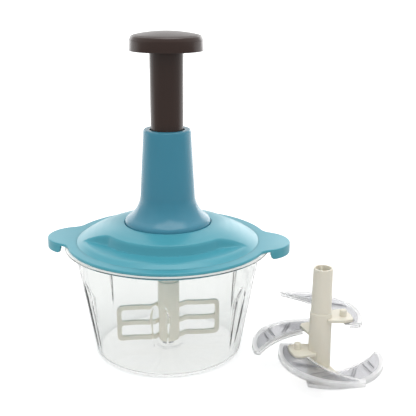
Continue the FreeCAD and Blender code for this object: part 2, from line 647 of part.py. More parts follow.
def make_spindle_bush():
    """Flanged bush in the floor of the well."""
    bush = fused([rod(BUSH_R, WELL_FLOOR_Z, WELL_TOP_Z),
                  rod(BUSH_FLANGE_R, WELL_TOP_Z, WELL_TOP_Z + BUSH_FLANGE)])
    return bush.cut(rod(SPINDLE_JOURNAL_R + RUNNING_GAP, WELL_FLOOR_Z - CUT_OVERRUN, COLLAR_Z))


def make_spring_seat():
    """Ring that the return spring stands on, round the bush's flange."""
    return ring(SEAT_BORE_R + SEAT_WIDTH, SEAT_BORE_R, WELL_TOP_Z, SEAT_TOP_Z)


def make_return_spring():
    """Return spring between its seat and the plunger, with an eight-sided wire."""
    z0 = SEAT_TOP_Z + SPRING_WIRE_R
    height = RETAINER_Z - SPRING_WIRE_R - z0
    path = Part.makeHelix(height / SPRING_TURNS, height, SPRING_R)
    corners = [polar(SPRING_WIRE_R, 45.0 * i) for i in range(9)]
    section = Part.makePolygon([V(SPRING_R + corner.x, 0, corner.y) for corner in corners])
    coil = Part.Wire(path).makePipeShell([section], True, True)
    return moved(coil, V(0, 0, z0))


# ---------------------------------------------------------------- plunger
def make_plunger_tube():
    """Tube of the plunger with its stop flange, closed at the top."""
    foot = PLUNGER_FOOT_Z
    flange_top = foot + PLUNGER_FLANGE_THICK
    body = lathe([(0, foot), (PLUNGER_FLANGE_R, foot), (PLUNGER_FLANGE_R, flange_top),
                  (plunger_r(flange_top), flange_top), (plunger_r(PLUNGER_TOP_Z), PLUNGER_TOP_Z),
                  (0, PLUNGER_TOP_Z)])
    ceiling = PLUNGER_TOP_Z - PLUNGER_CROWN
    body = body.cut([rod(PLUNGER_BORE_R, foot - CUT_OVERRUN, ceiling),
                     rod(NUT_FLANGE_R, foot - CUT_OVERRUN, foot + NUT_FLANGE),
                     rod(SCREW_R, ceiling - CUT_OVERRUN, PLUNGER_TOP_Z + CUT_OVERRUN)])
    deep = RETAINER_SCREW_LENGTH - RETAINER_THICK
    holes = on_circle(rod(SMALL_SCREW_R, -CUT_OVERRUN, deep), RETAINER_SCREW_COUNT,
                      RETAINER_SCREW_CIRCLE_R, foot)
    return body.cut(holes)


def make_drive_nut():
    """Nut in the plunger's foot; its twisted slot drives the spindle."""
    z0 = PLUNGER_FOOT_Z
    nut = fused([rod(PLUNGER_BORE_R, z0, z0 + NUT_HEIGHT), rod(NUT_FLANGE_R, z0, z0 + NUT_FLANGE)])
    return nut.cut(twisted_bar(TWIST_GAP, z0 - CUT_OVERRUN, z0 + NUT_HEIGHT + CUT_OVERRUN))


def make_nut_retainer():
    """Plate under the plunger's flange that holds the nut and takes the spring."""
    plate = ring(PLUNGER_FLANGE_R, RETAINER_BORE_R, RETAINER_Z, PLUNGER_FOOT_Z)
    holes = on_circle(rod(SMALL_SCREW_R, -CUT_OVERRUN, RETAINER_THICK + CUT_OVERRUN),
                      RETAINER_SCREW_COUNT, RETAINER_SCREW_CIRCLE_R, RETAINER_Z)
    return plate.cut(holes)


def make_retainer_screws():
    """Screws that hold the plate to the plunger's flange."""
    return Part.makeCompound(on_circle(screw(SMALL_SCREW_R, RETAINER_SCREW_LENGTH),
                                       RETAINER_SCREW_COUNT, RETAINER_SCREW_CIRCLE_R, RETAINER_Z))


def make_knob():
    """Knob: a rounded cup, open at the top for its cap, with a hub over the plunger tube."""
    side_top = KNOB_UNDER_Z + KNOB_SIDE
    side = (KNOB_R - KNOB_DRAFT, side_top)
    shoulder = (KNOB_SHOULDER_R, KNOB_SHOULDER_Z)
    outer = lathe([(0, KNOB_UNDER_Z), (KNOB_R, KNOB_UNDER_Z), side,
                   (arc_middle(shoulder, side, KNOB_SHOULDER_BULGE), shoulder), (0, KNOB_SHOULDER_Z)])
    outer = rounded(outer, KNOB_EDGE_ROUND, lambda e: circle_edge(e, KNOB_R, KNOB_UNDER_Z))
    hub_r = plunger_r(PLUNGER_TOP_Z)
    room = ring(KNOB_R - KNOB_DRAFT - KNOB_WALL, hub_r + KNOB_HUB_WALL, KNOB_UNDER_Z + KNOB_WALL,
                CAP_REST_Z)
    ledge = rod(KNOB_CAP_R, CAP_REST_Z, KNOB_SHOULDER_Z + CUT_OVERRUN)
    tube = lathe([(0, KNOB_UNDER_Z - CUT_OVERRUN), (plunger_r(KNOB_UNDER_Z), KNOB_UNDER_Z - CUT_OVERRUN),
                  (plunger_r(KNOB_UNDER_Z), KNOB_UNDER_Z), (hub_r, PLUNGER_TOP_Z), (0, PLUNGER_TOP_Z)])
    return outer.cut([room, ledge, tube, rod(SCREW_R, PLUNGER_TOP_Z - CUT_OVERRUN, CAP_REST_Z)])


def make_knob_cap():
    """Domed disc in the top of the knob."""
    crown = CAP_REST_Z + KNOB_CAP_THICK
    ball_r = (KNOB_CAP_R ** 2 + KNOB_CAP_RISE ** 2) / (2 * KNOB_CAP_RISE)
    ball = Part.makeSphere(ball_r, V(0, 0, crown + KNOB_CAP_RISE - ball_r))
    return rod(KNOB_CAP_R, CAP_REST_Z, crown + KNOB_CAP_RISE).common(ball)


def make_knob_screw():
    """Screw from inside the plunger tube up into the knob."""
    length = CAP_REST_Z - (PLUNGER_TOP_Z - PLUNGER_CROWN)
    return moved(screw(SCREW_R, length), V(0, 0, PLUNGER_TOP_Z - PLUNGER_CROWN))


# ---------------------------------------------------------------- drive
def make_drive_spindle():
    """Spindle: journal, collar, and the flat twisted bar above it."""
    journal = rod(SPINDLE_JOURNAL_R, COUPLING_TOP_Z - COUPLING_HOLE_DEPTH, COLLAR_Z)
    collar = rod(SPINDLE_COLLAR_R, COLLAR_Z, TWIST_START_Z)
    spindle = fused([journal, collar, twisted_bar(0, TWIST_START_Z, SPINDLE_TOP_Z)])
    low = COUPLING_TOP_Z - COUPLING_HOLE_DEPTH
    return spindle.cut(rod(SCREW_R, low - CUT_OVERRUN, low + COUPLING_HOLE_DEPTH))


def make_thrust_washer():
    """Washer between the bush and the spindle's collar."""
    return ring(WASHER_R, SPINDLE_JOURNAL_R, COLLAR_Z - WASHER_THICK, COLLAR_Z)


def make_drive_coupling():
    """Splined end of the drive, which drops into the shaft of the whisk or the blade unit."""
    top = COUPLING_TOP_Z
    coupling = splined(COUPLING_R, SPLINE_R, SPLINE_WIDTH, top - COUPLING_LENGTH, top)
    return coupling.cut([rod(SPINDLE_JOURNAL_R, top - COUPLING_HOLE_DEPTH, top + CUT_OVERRUN),
                         rod(SCREW_R, top - COUPLING_LENGTH - CUT_OVERRUN, top)])


def make_coupling_screw():
    """Screw that holds the coupling on the spindle."""
    return moved(screw(SCREW_R, COUPLING_LENGTH), V(0, 0, COUPLING_TOP_Z - COUPLING_LENGTH))


# ---------------------------------------------------------------- whisk
def paddle():
    """One paddle of the whisk along +X: a waved strip with two windows."""
    wave = PADDLE_WAVE
    line = [(4.0, 0.0), (9.0, -0.8 * wave), (16.0, wave), (25.0, 0.2 * wave), (33.0, -0.25 * wave),
            (PADDLE_REACH, 0.15 * wave)]
    sides = []
    for offset in (-PADDLE_THICK / 2, PADDLE_THICK / 2):
        curve = Part.BSplineCurve()
        curve.interpolate([V(u, w + offset, PADDLE_LOW_Z) for u, w in line])
        sides.append(curve)
    ends = [Part.makeLine(sides[0].EndPoint, sides[1].EndPoint),
            Part.makeLine(sides[1].StartPoint, sides[0].StartPoint)]
    outline = Part.Wire([sides[0].toShape(), ends[0], sides[1].toShape(), ends[1]])
    strip = Part.Face(outline).extrude(V(0, 0, PADDLE_HIGH_Z - PADDLE_LOW_Z))
    deep = 4 * PADDLE_WAVE + PADDLE_THICK
    frame = Part.makeBox(PADDLE_REACH, deep, PADDLE_HIGH_Z - PADDLE_LOW_Z, V(0, -deep / 2, PADDLE_LOW_Z))
    frame = rounded(frame, PADDLE_ROUND,
                    lambda e: e.BoundBox.XMin > PADDLE_REACH - 1e-6 and abs(e.Length - deep) < 1e-6)
    height = (PADDLE_HIGH_Z - PADDLE_LOW_Z - 3 * PADDLE_BAR) / 2
    for z in (PADDLE_LOW_Z + PADDLE_BAR, PADDLE_HIGH_Z - PADDLE_BAR - height):
        window = Part.makeBox(PADDLE_REACH - PADDLE_POST - PADDLE_WINDOW_START, deep, height,
                              V(PADDLE_WINDOW_START, -deep / 2, z))
        window = rounded(window, PADDLE_WINDOW_ROUND,
                         lambda e: e.BoundBox.XMin > WHISK_FOOT_R and abs(e.Length - deep) < 1e-6)
        frame = frame.cut(window)
    return strip.common(frame)


def make_whisk():
    """Whisk: hollow shaft with two paddles, a bore for the pin and a socket for the drive."""
    foot = WHISK_FOOT_Z
    shaft = lathe([(0, foot), (WHISK_FOOT_R, foot), (WHISK_FOOT_R, WHISK_STEP_Z),
                   (WHISK_NECK_R, WHISK_STEP_Z), (SHAFT_TOP_R, WHISK_TOP_Z), (0, WHISK_TOP_Z)])
    shaft = rounded(shaft, WHISK_EDGE_ROUND, lambda e: circle_edge(e, WHISK_FOOT_R, foot)
                    or circle_edge(e, WHISK_FOOT_R, WHISK_STEP_Z))
    paddles = [turned(paddle(), WHISK_TURN_DEG + side) for side in (0, 180)]
    whisk = fused([shaft] + paddles)
    return whisk.cut([rod(PIN_R + RUNNING_GAP, foot - CUT_OVERRUN, PIN_TOP_Z + CUT_OVERRUN),
                      drive_socket(WHISK_TOP_Z)])


# ---------------------------------------------------------------- blade unit
def crescent(disc, grow, tip_r, z0, z1):
    """Crescent on a disc with the blade's convex side; its belly and root are grown by grow."""
    size = 2 * BLADE_BACK_R
    tip = BLADE_BACK + polar(BLADE_BACK_R - BLADE_TIP_INSET, BLADE_TIP_DEG)
    belly = BLADE_BACK + polar(BLADE_BACK_R - BLADE_WIDTH - BLADE_BELLY_R, BLADE_WIDEST_DEG)
    limit = Part.makeBox(size, size, z1 - z0, V(tip.x, -BLADE_ROOT - grow, z0))
    limit = limit.fuse(rod(tip_r, z0, z1, tip))
    shape = moved(disc, BLADE_BACK)
    shape = shape.cut(rod(BLADE_BELLY_R - grow, z0 - CUT_OVERRUN, z1 + CUT_OVERRUN, belly))
    return shape.common(limit).removeSplitter()


def placed(shape, index):
    """A piece of blade number index, turned and moved to its place on the hub."""
    where = turned(shape, BLADE_FIRST_DEG + BLADE_STEP_DEG * index)
    return moved(where, UNIT_POS + V(0, 0, BLADE_LEVELS[index]))


def make_blade(index):
    """Crescent steel blade, bevelled along its convex edge."""
    half = BLADE_THICK / 2
    land = half - BLADE_BEVEL_DEPTH
    disc = fused([rod(BLADE_BACK_R, -half, land),
                  cone(BLADE_BACK_R, BLADE_BACK_R - BLADE_BEVEL, land, half)])
    blade = crescent(disc, 0, BLADE_TIP_R, -half, half)
    holes = [rod(STAKE_R, -half - CUT_OVERRUN, half + CUT_OVERRUN, point) for point in STAKE_POINTS]
    return placed(blade.cut(holes), index)


def make_guard(index):
    """Clear guard: two plates joined by a rim along the blade's convex edge."""
    half = BLADE_THICK / 2 + GUARD_GAP
    face = half + GUARD_PLATE
    inside = GUARD_MARGIN
    guard = crescent(rod(BLADE_BACK_R + inside + GUARD_RIM, -face, face), inside,
                     BLADE_TIP_R + GUARD_TIP_MARGIN, -face, face)
    slot = rod(BLADE_BACK_R + inside, -half, half, BLADE_BACK)
    return placed(guard.cut([slot, notch(face)]), index)


def notch(face):
    """Cutter that lets a guard past the arm as it comes off."""
    pull = polar(1, GUARD_PULL_DEG)
    across = polar(1, GUARD_PULL_DEG + 90)
    outline = Part.Wire(Part.makePolygon(list(ARM_OUTLINE) + [ARM_OUTLINE[0]]))
    grown = Part.Face(outline.makeOffset2D(GUARD_NOTCH_GAP))
    corners = [vertex.Point for vertex in grown.Vertexes]
    left = max(corners, key=lambda p: p.dot(across))
    right = min(corners, key=lambda p: p.dot(across))
    away = pull * (-2 * BLADE_BACK_R)
    path = prism([left, right, right + away, left + away], -face - CUT_OVERRUN, face + CUT_OVERRUN)
    round_arm = moved(grown, V(0, 0, -face - CUT_OVERRUN)).extrude(V(0, 0, 2 * (face + CUT_OVERRUN)))
    return path.fuse(round_arm)


def arm():
    """Arm of the hub along +X with its peg and the stakes that hold the blade."""
    low = BLADE_THICK / 2
    top = low + ARM_THICK
    plate = prism(ARM_OUTLINE, low, top)
    plate = rounded(plate, ARM_ROUND, lambda e: upright(e) and e.Vertexes[0].Point.x > HUB_FOOT_R)
    peg = rod(PEG_R, top, top + PEG_HEIGHT, PEG_POS)
    peg = rounded(peg, PEG_ROUND, lambda e: e.BoundBox.ZMin > top + PEG_HEIGHT - 1e-6)
    shapes = [plate, peg]
    for point in STAKE_POINTS:
        shapes.append(rod(STAKE_R, -low, low, point))
        shapes.append(rod(STAKE_HEAD_R, -low - STAKE_HEAD, -low, point))
    return shapes


def make_blade_hub():
    """Hub of the blade unit: hollow shaft with four arms."""
    shaft = lathe([(0, 0), (HUB_FOOT_R, 0), (HUB_STEP_R, HUB_STEP_Z), (HUB_NECK_R, HUB_STEP_Z),
                   (SHAFT_TOP_R, HUB_TOP_Z), (0, HUB_TOP_Z)])
    arms = []
    for index in range(len(BLADE_LEVELS)):
        for piece in arm():
            arms.append(moved(placed(piece, index), -UNIT_POS))
    hub = fused([shaft] + arms)
    hub = hub.cut([rod(BOSS_R + SLIDING_GAP, -CUT_OVERRUN, HUB_FOOT_RECESS),
                   rod(PIN_R + RUNNING_GAP, -CUT_OVERRUN, PIN_TOP_Z - HUB_SEAT_Z + CUT_OVERRUN),
                   drive_socket(HUB_TOP_Z)])
    return moved(hub, UNIT_POS)


# ---------------------------------------------------------------- every node
NODES = {
    "bowl": make_bowl, "pivot_pin": make_pivot_pin, "lid": make_lid, "tower": make_tower,
    "tower_screws": make_tower_screws, "plunger_guide": make_plunger_guide,
    "spindle_bush": make_spindle_bush, "spring_seat": make_spring_seat,
    "return_spring": make_return_spring, "plunger_tube": make_plunger_tube, "knob": make_knob,
    "knob_cap": make_knob_cap, "knob_screw": make_knob_screw, "drive_nut": make_drive_nut,
    "nut_retainer": make_nut_retainer, "retainer_screws": make_retainer_screws,
    "drive_spindle": make_drive_spindle, "thrust_washer": make_thrust_washer,
    "drive_coupling": make_drive_coupling, "coupling_screw": make_coupling_screw,
    "whisk": make_whisk, "blade_hub": make_blade_hub,
}
for node, make in NODES.items():
    export(node, make())
for number in range(len(BLADE_LEVELS)):
    export("blade_" + str(number + 1), make_blade(number))
    export("guard_" + str(number + 1), make_guard(number))
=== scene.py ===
"""Dressed model of a hand-press food chopper with its whisk, blade unit and blade guards.

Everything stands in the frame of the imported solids: metres, the bowl's foot at the origin, +Z up and
the front towards -Y. Sizes in the classes are millimetres.
"""
import logging
import math
from dataclasses import dataclass
from enum import Enum
from typing import Callable, Sequence

import bpy
from mathutils import Matrix, Vector


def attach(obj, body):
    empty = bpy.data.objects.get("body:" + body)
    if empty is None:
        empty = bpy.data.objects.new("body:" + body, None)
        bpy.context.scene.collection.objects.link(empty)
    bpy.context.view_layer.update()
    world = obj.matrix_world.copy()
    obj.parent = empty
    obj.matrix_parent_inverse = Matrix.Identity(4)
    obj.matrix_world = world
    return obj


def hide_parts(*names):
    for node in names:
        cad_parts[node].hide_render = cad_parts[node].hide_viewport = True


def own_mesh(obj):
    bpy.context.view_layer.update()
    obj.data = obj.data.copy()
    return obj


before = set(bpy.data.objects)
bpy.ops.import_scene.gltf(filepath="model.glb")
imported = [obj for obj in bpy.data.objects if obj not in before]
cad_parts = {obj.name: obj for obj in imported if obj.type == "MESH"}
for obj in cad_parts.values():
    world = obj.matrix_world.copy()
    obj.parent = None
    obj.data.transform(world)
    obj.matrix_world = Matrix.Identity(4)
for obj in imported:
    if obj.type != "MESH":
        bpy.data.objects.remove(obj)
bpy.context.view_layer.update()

MM = 0.001
DOUBLES = 1e-6
log = logging.getLogger("chopper")

Corner = tuple[float, float, float]
Spot = tuple[float, float]
Piece = bpy.types.Object
AXIS: Spot = (0.0, 0.0)


# ------------------------ drawing
def polar(r: float, deg: float) -> Spot:
    """Point at a radius and an azimuth in degrees."""
    return r * math.cos(math.radians(deg)), r * math.sin(math.radians(deg))


def arc(centre: Spot, r: float, start: float, end: float, steps: int) -> list[Spot]:
    """Points along an arc.

    Args:
        centre: middle of the arc.
        r: its radius.
        start: azimuth of the first point, in degrees.
        end: azimuth of the last point.
        steps: number of runs between the points.

    Returns:
        The points, both ends included.
    """
    turns = [start + (end - start) * i / steps for i in range(steps + 1)]
    return [(centre[0] + polar(r, t)[0], centre[1] + polar(r, t)[1]) for t in turns]


def soften(corners: Sequence[Corner], closed: bool = True, steps: int = 4) -> list[Spot]:
    """Rounds the corners of an outline.

    Args:
        corners: the outline as (x, y, radius of the rounding).
        closed: whether the last corner joins the first.
        steps: runs in each rounding.

    Returns:
        The points of the softened outline.
    """
    spots: list[Spot] = []
    count = len(corners)
    for i, (x, y, r) in enumerate(corners):
        here = complex(x, y)
        end = not closed and i in (0, count - 1)
        if r <= 0 or end:
            spots.append((x, y))
            continue
        before = complex(*corners[i - 1][:2]) - here
        after = complex(*corners[(i + 1) % count][:2]) - here
        u, v = before / abs(before), after / abs(after)
        half = math.acos(max(-1.0, min(1.0, (u * v.conjugate()).real))) / 2
        reach = min(r / math.tan(half), 0.48 * abs(before), 0.48 * abs(after))
        r = reach * math.tan(half)
        middle = here + (u + v) / abs(u + v) * (r / math.sin(half))
        first, last = here + u * reach - middle, here + v * reach - middle
        swing = math.atan2((last / first).imag, (last / first).real)
        for k in range(steps + 1):
            turn = swing * k / steps
            spot = middle + first * complex(math.cos(turn), math.sin(turn))
            spots.append((spot.real, spot.imag))
    return spots


def spaced(spots: Sequence[Spot], pitch: float, inside: Callable[[Spot], bool]) -> list[Spot]:
    """Adds points on the long runs of an outline.

    Args:
        spots: the outline.
        pitch: longest run that is left whole.
        inside: whether a run that starts and ends at such points is divided.

    Returns:
        The outline with the added points.
    """
    result = [spots[0]]
    for a, b in zip(spots, spots[1:]):
        length = math.dist(a, b)
        parts = max(1, math.ceil(length / pitch)) if inside(a) and inside(b) else 1
        result += [(a[0] + (b[0] - a[0]) * k / parts, a[1] + (b[1] - a[1]) * k / parts)
                   for k in range(1, parts + 1)]
    return result


def crossing(a: Spot, ra: float, b: Spot, rb: float) -> Spot:
    """Where two circles cross, on the left of the line between their centres.

    Args:
        a: centre of the first circle.
        ra: its radius.
        b: centre of the second circle.
        rb: its radius.

    Returns:
        The crossing.
    """
    gap = math.dist(a, b)
    along = (gap ** 2 + ra ** 2 - rb ** 2) / (2 * gap)
    aside = math.sqrt(max(ra ** 2 - along ** 2, 0.0))
    u = ((b[0] - a[0]) / gap, (b[1] - a[1]) / gap)
    return a[0] + u[0] * along - u[1] * aside, a[1] + u[1] * along + u[0] * aside


def azimuth(centre: Spot, spot: Spot) -> float:
    """Azimuth of a point seen from a centre, in degrees."""
    return math.degrees(math.atan2(spot[1] - centre[1], spot[0] - centre[0]))


def soft_min(a: float, b: float, width: float) -> float:
    """The lower of two heights, with the crossing rounded over a width."""
    near = max(width - abs(a - b), 0.0) / width
    return min(a, b) - near * near * width / 4


def soft_max(a: float, b: float, width: float) -> float:
    """The higher of two heights, with the crossing rounded over a width."""
    return -soft_min(-a, -b, width)


class Bench:
    """Steps of modelling that the pieces share."""

    @staticmethod
    def clear() -> None:
        """Goes to object mode with nothing selected."""
        if bpy.context.mode != "OBJECT":
            bpy.ops.object.mode_set(mode="OBJECT")
        bpy.ops.object.select_all(action="DESELECT")

    @staticmethod
    def take(piece: Piece) -> None:
        """Selects one piece and makes it the active one."""
        Bench.clear()
        piece.select_set(True)
        bpy.context.view_layer.objects.active = piece

    @staticmethod
    def edit(everything: bool = True) -> None:
        """Goes to edit mode with everything or nothing selected."""
        bpy.ops.object.mode_set(mode="EDIT")
        bpy.ops.mesh.select_all(action="SELECT" if everything else "DESELECT")

    @staticmethod
    def shade(piece: Piece, angle: float) -> None:
        """Shades a piece smooth, with edges sharper than an angle in degrees left crisp."""
        Bench.take(piece)
        bpy.ops.object.shade_smooth_by_angle(angle=math.radians(angle))

    @staticmethod
    def modify(piece: Piece, kind: str, **settings: object) -> None:
        """Applies a modifier to a piece.

        Args:
            piece: the piece.
            kind: type of the modifier.
            settings: what is set on it.
        """
        Bench.take(piece)
        bpy.ops.object.modifier_add(type=kind)
        modifier = piece.modifiers[-1]
        for name, setting in settings.items():
            setattr(modifier, name, setting)
        bpy.ops.object.modifier_apply(modifier=modifier.name)

    @staticmethod
    def chain(name: str, spots: Sequence[Corner], closed: bool) -> Piece:
        """Lays a chain of edges and stays in edit mode with all of it selected.

        Args:
            name: name of the new piece.
            spots: the chain's points in millimetres.
            closed: whether the last point joins the first.

        Returns:
            The new piece.
        """
        Bench.clear()
        bpy.ops.mesh.primitive_plane_add(size=MM, location=(0, 0, 0))
        piece = bpy.context.active_object
        piece.name = piece.data.name = name
        Bench.edit()
        bpy.ops.mesh.merge(type="CENTER")
        path = [Vector(spot) * MM for spot in spots]
        bpy.ops.transform.translate(value=path[0])
        for here, there in zip(path, path[1:] + path[:1] if closed else path[1:]):
            bpy.ops.mesh.extrude_vertices_move(TRANSFORM_OT_translate={"value": there - here})
        bpy.ops.mesh.select_all(action="SELECT")
        bpy.ops.mesh.remove_doubles(threshold=DOUBLES)
        bpy.ops.mesh.select_all(action="SELECT")
        return piece

    @staticmethod
    def close(piece: Piece, angle: float = 35.0) -> None:
        """Merges the doubles of the piece in edit mode, turns its faces outwards and shades it."""
        bpy.ops.mesh.select_all(action="SELECT")
        bpy.ops.mesh.remove_doubles(threshold=DOUBLES)
        bpy.ops.mesh.normals_make_consistent(inside=False)
        Bench.shade(piece, angle)

    @staticmethod
    def lathe(name: str, spots: Sequence[Spot], steps: int = 128, closed: bool = True,
              angle: float = 35.0) -> Piece:
        """Spins an outline round the upright axis.

        Args:
            name: name of the new piece.
            spots: the outline as (radius, height); one that starts and ends on the axis isn't closed.
            steps: number of runs in the round.
            closed: whether the outline's last point joins its first.
            angle: edges sharper than this stay crisp, in degrees.

        Returns:
            The new piece.
        """
        piece = Bench.chain(name, [(r, 0.0, z) for r, z in spots], closed)
        bpy.ops.mesh.spin(steps=steps, angle=2 * math.pi, center=(0, 0, 0), axis=(0, 0, 1))
        Bench.close(piece, angle)
        return piece

    @staticmethod
    def slab(name: str, spots: Sequence[Spot], low: float, high: float) -> Piece:
        """Fills an outline and extrudes it upwards.

        Args:
            name: name of the new piece.
            spots: the outline seen from above.
            low: height of its underside.
            high: height of its top.

        Returns:
            The new piece.
        """
        piece = Bench.chain(name, [(x, y, low) for x, y in spots], True)
        bpy.ops.mesh.edge_face_add()
        bpy.ops.mesh.extrude_region_move(TRANSFORM_OT_translate={"value": (0, 0, (high - low) * MM)})
        Bench.close(piece)
        return piece

    @staticmethod
    def bevel(piece: Piece, where: Callable[[Vector], bool], width: float, segments: int) -> None:
        """Rounds the edges whose two ends lie in a chosen place.

        Args:
            piece: the piece.
            where: whether a point, in millimetres, is in that place.
            width: width of the rounding.
            segments: faces across it.
        """
        Bench.take(piece)
        Bench.edit(everything=False)
        bpy.ops.mesh.select_mode(type="EDGE")
        bpy.ops.object.mode_set(mode="OBJECT")
        points = piece.data.vertices
        for edge in piece.data.edges:
            edge.select = all(where(points[v].co / MM) for v in edge.vertices)
        bpy.ops.object.mode_set(mode="EDIT")
        bpy.ops.mesh.bevel(offset=width * MM, segments=segments, affect="EDGES")
        bpy.ops.mesh.select_mode(type="VERT")
        bpy.ops.object.mode_set(mode="OBJECT")

    @staticmethod
    def carve(piece: Piece, cutter: Piece) -> None:
        """Cuts one piece out of another and throws the cutter away."""
        Bench.modify(piece, "BOOLEAN", operation="DIFFERENCE", object=cutter, solver="EXACT")
        bpy.data.objects.remove(cutter, do_unlink=True)

    @staticmethod
    def join(piece: Piece, *others: Piece) -> None:
        """Makes other pieces a part of the first.

        Args:
            piece: the piece that stays.
            others: the pieces that go into it.
        """
        Bench.take(piece)
        for other in others:
            other.select_set(True)
        bpy.ops.object.join()

    @staticmethod
    def place(piece: Piece, at: Sequence[float] = (0, 0, 0), turn: float = 0.0,
              tip: float = 0.0) -> None:
        """Turns a piece about the axes, moves it, and leaves its object at the origin.

        Args:
            piece: the piece.
            at: how far it moves, in millimetres.
            turn: how far it turns about the upright axis, in degrees.
            tip: how far it is tipped back about the X axis before, in degrees.
        """
        Bench.take(piece)
        piece.rotation_euler = (math.radians(tip), 0, math.radians(turn))
        piece.location = Vector(at) * MM
        bpy.ops.object.transform_apply(location=True, rotation=True, scale=True)

    @staticmethod
    def twin(piece: Piece, name: str) -> Piece:
        """Copies a piece.

        Args:
            piece: the piece.
            name: name of the copy.

        Returns:
            The copy, with its own mesh.
        """
        Bench.take(piece)
        bpy.ops.object.duplicate(linked=False)
        copy = bpy.context.active_object
        copy.name = copy.data.name = name
        return copy

    @staticmethod
    def round_edges(piece: Piece, width: float, segments: int, sharper: float) -> None:
        """Rounds every edge of a piece that is sharper than an angle.

        Args:
            piece: the piece.
            width: width of the rounding in millimetres.
            segments: faces across it.
            sharper: the angle in degrees.
        """
        Bench.modify(piece, "BEVEL", width=width * MM, segments=segments, limit_method="ANGLE",
                     angle_limit=math.radians(sharper), use_clamp_overlap=True)
        Bench.shade(piece, 35)

    @staticmethod
    def slots(piece: Piece, low: float, reach: float = 6.5, half: float = 1.0,
              depth: float = 25.0) -> None:
        """Cuts four slots for the coupling's keys into a socket.

        Args:
            piece: the piece with the socket.
            low: height of the slots' foot.
            reach: how far they go out from the axis.
            half: half of their width.
            depth: how far up they go, past the socket's mouth.
        """
        outline = [(-reach, -half), (reach, -half), (reach, half), (-reach, half)]
        for turn in (0, 90):
            key = Bench.slab("key", outline, low, low + depth)
            Bench.place(key, turn=turn)
            Bench.carve(piece, key)

    @staticmethod
    def slice(piece: Piece, places: Sequence[float]) -> None:
        """Cuts loops across the X axis into a piece, so that it can be bent.

        Args:
            piece: the piece.
            places: where the loops lie along the axis, in millimetres.
        """
        Bench.take(piece)
        for place in places:
            Bench.edit()
            bpy.ops.mesh.bisect(plane_co=(place * MM, 0, 0), plane_no=(1, 0, 0))
        Bench.clear()

    @staticmethod
    def press(piece: Piece, rule: Callable[[Vector], Vector]) -> None:
        """Moves every point of a piece to where a rule in millimetres sends it."""
        for point in piece.data.vertices:
            point.co = rule(point.co / MM) * MM


# ------------------------ finishes
Socket = bpy.types.NodeSocket
Colour = tuple[float, float, float]
Setting = Socket | float | Sequence[float]


class Wear(Enum):
    """How the surface of a moulding is broken up."""

    POLISHED = 0.02
    SATIN = 0.035
    MATT = 0.05


def paint(*colour: float) -> tuple[float, ...]:
    """Colour written as on a screen, 0 to 255, as the shader wants it."""
    shares = [min(value, 255) / 255 for value in colour]
    return (*(v / 12.92 if v <= 0.04045 else ((v + 0.055) / 1.055) ** 2.4 for v in shares), 1.0)


class Graph:
    """Nodes of a material or of the world."""

    def __init__(self, tree: bpy.types.NodeTree) -> None:
        """Takes a tree of nodes."""
        self.nodes, self.links = tree.nodes, tree.links

    def link(self, source: Setting, target: Socket) -> None:
        """Joins one socket to another, or sets a value there."""
        if isinstance(source, Socket):
            self.links.new(source, target)
        else:
            target.default_value = source

    def span(self, value: Socket, start: float, end: float, low: Socket | float,
             high: Socket | float) -> Socket:
        """Turns one number into another.

        Args:
            value: the number that is read.
            start: its lower end.
            end: its upper end.
            low: what comes out at the lower end and below it.
            high: what comes out at the upper end and above it.

        Returns:
            What comes out.
        """
        node = self.nodes.new("ShaderNodeMapRange")
        names = ("Value", "From Min", "From Max", "To Min", "To Max")
        for name, setting in zip(names, (value, start, end, low, high)):
            self.link(setting, node.inputs[name])
        return node.outputs["Result"]

    def maths(self, operation: str, first: Socket, second: Socket) -> Socket:
        """Works out one number from two.

        Args:
            operation: name of the operation.
            first: the first number.
            second: the second number.

        Returns:
            The outcome.
        """
        node = self.nodes.new("ShaderNodeMath")
        node.operation = operation
        self.link(first, node.inputs[0])
        self.link(second, node.inputs[1])
        return node.outputs[0]


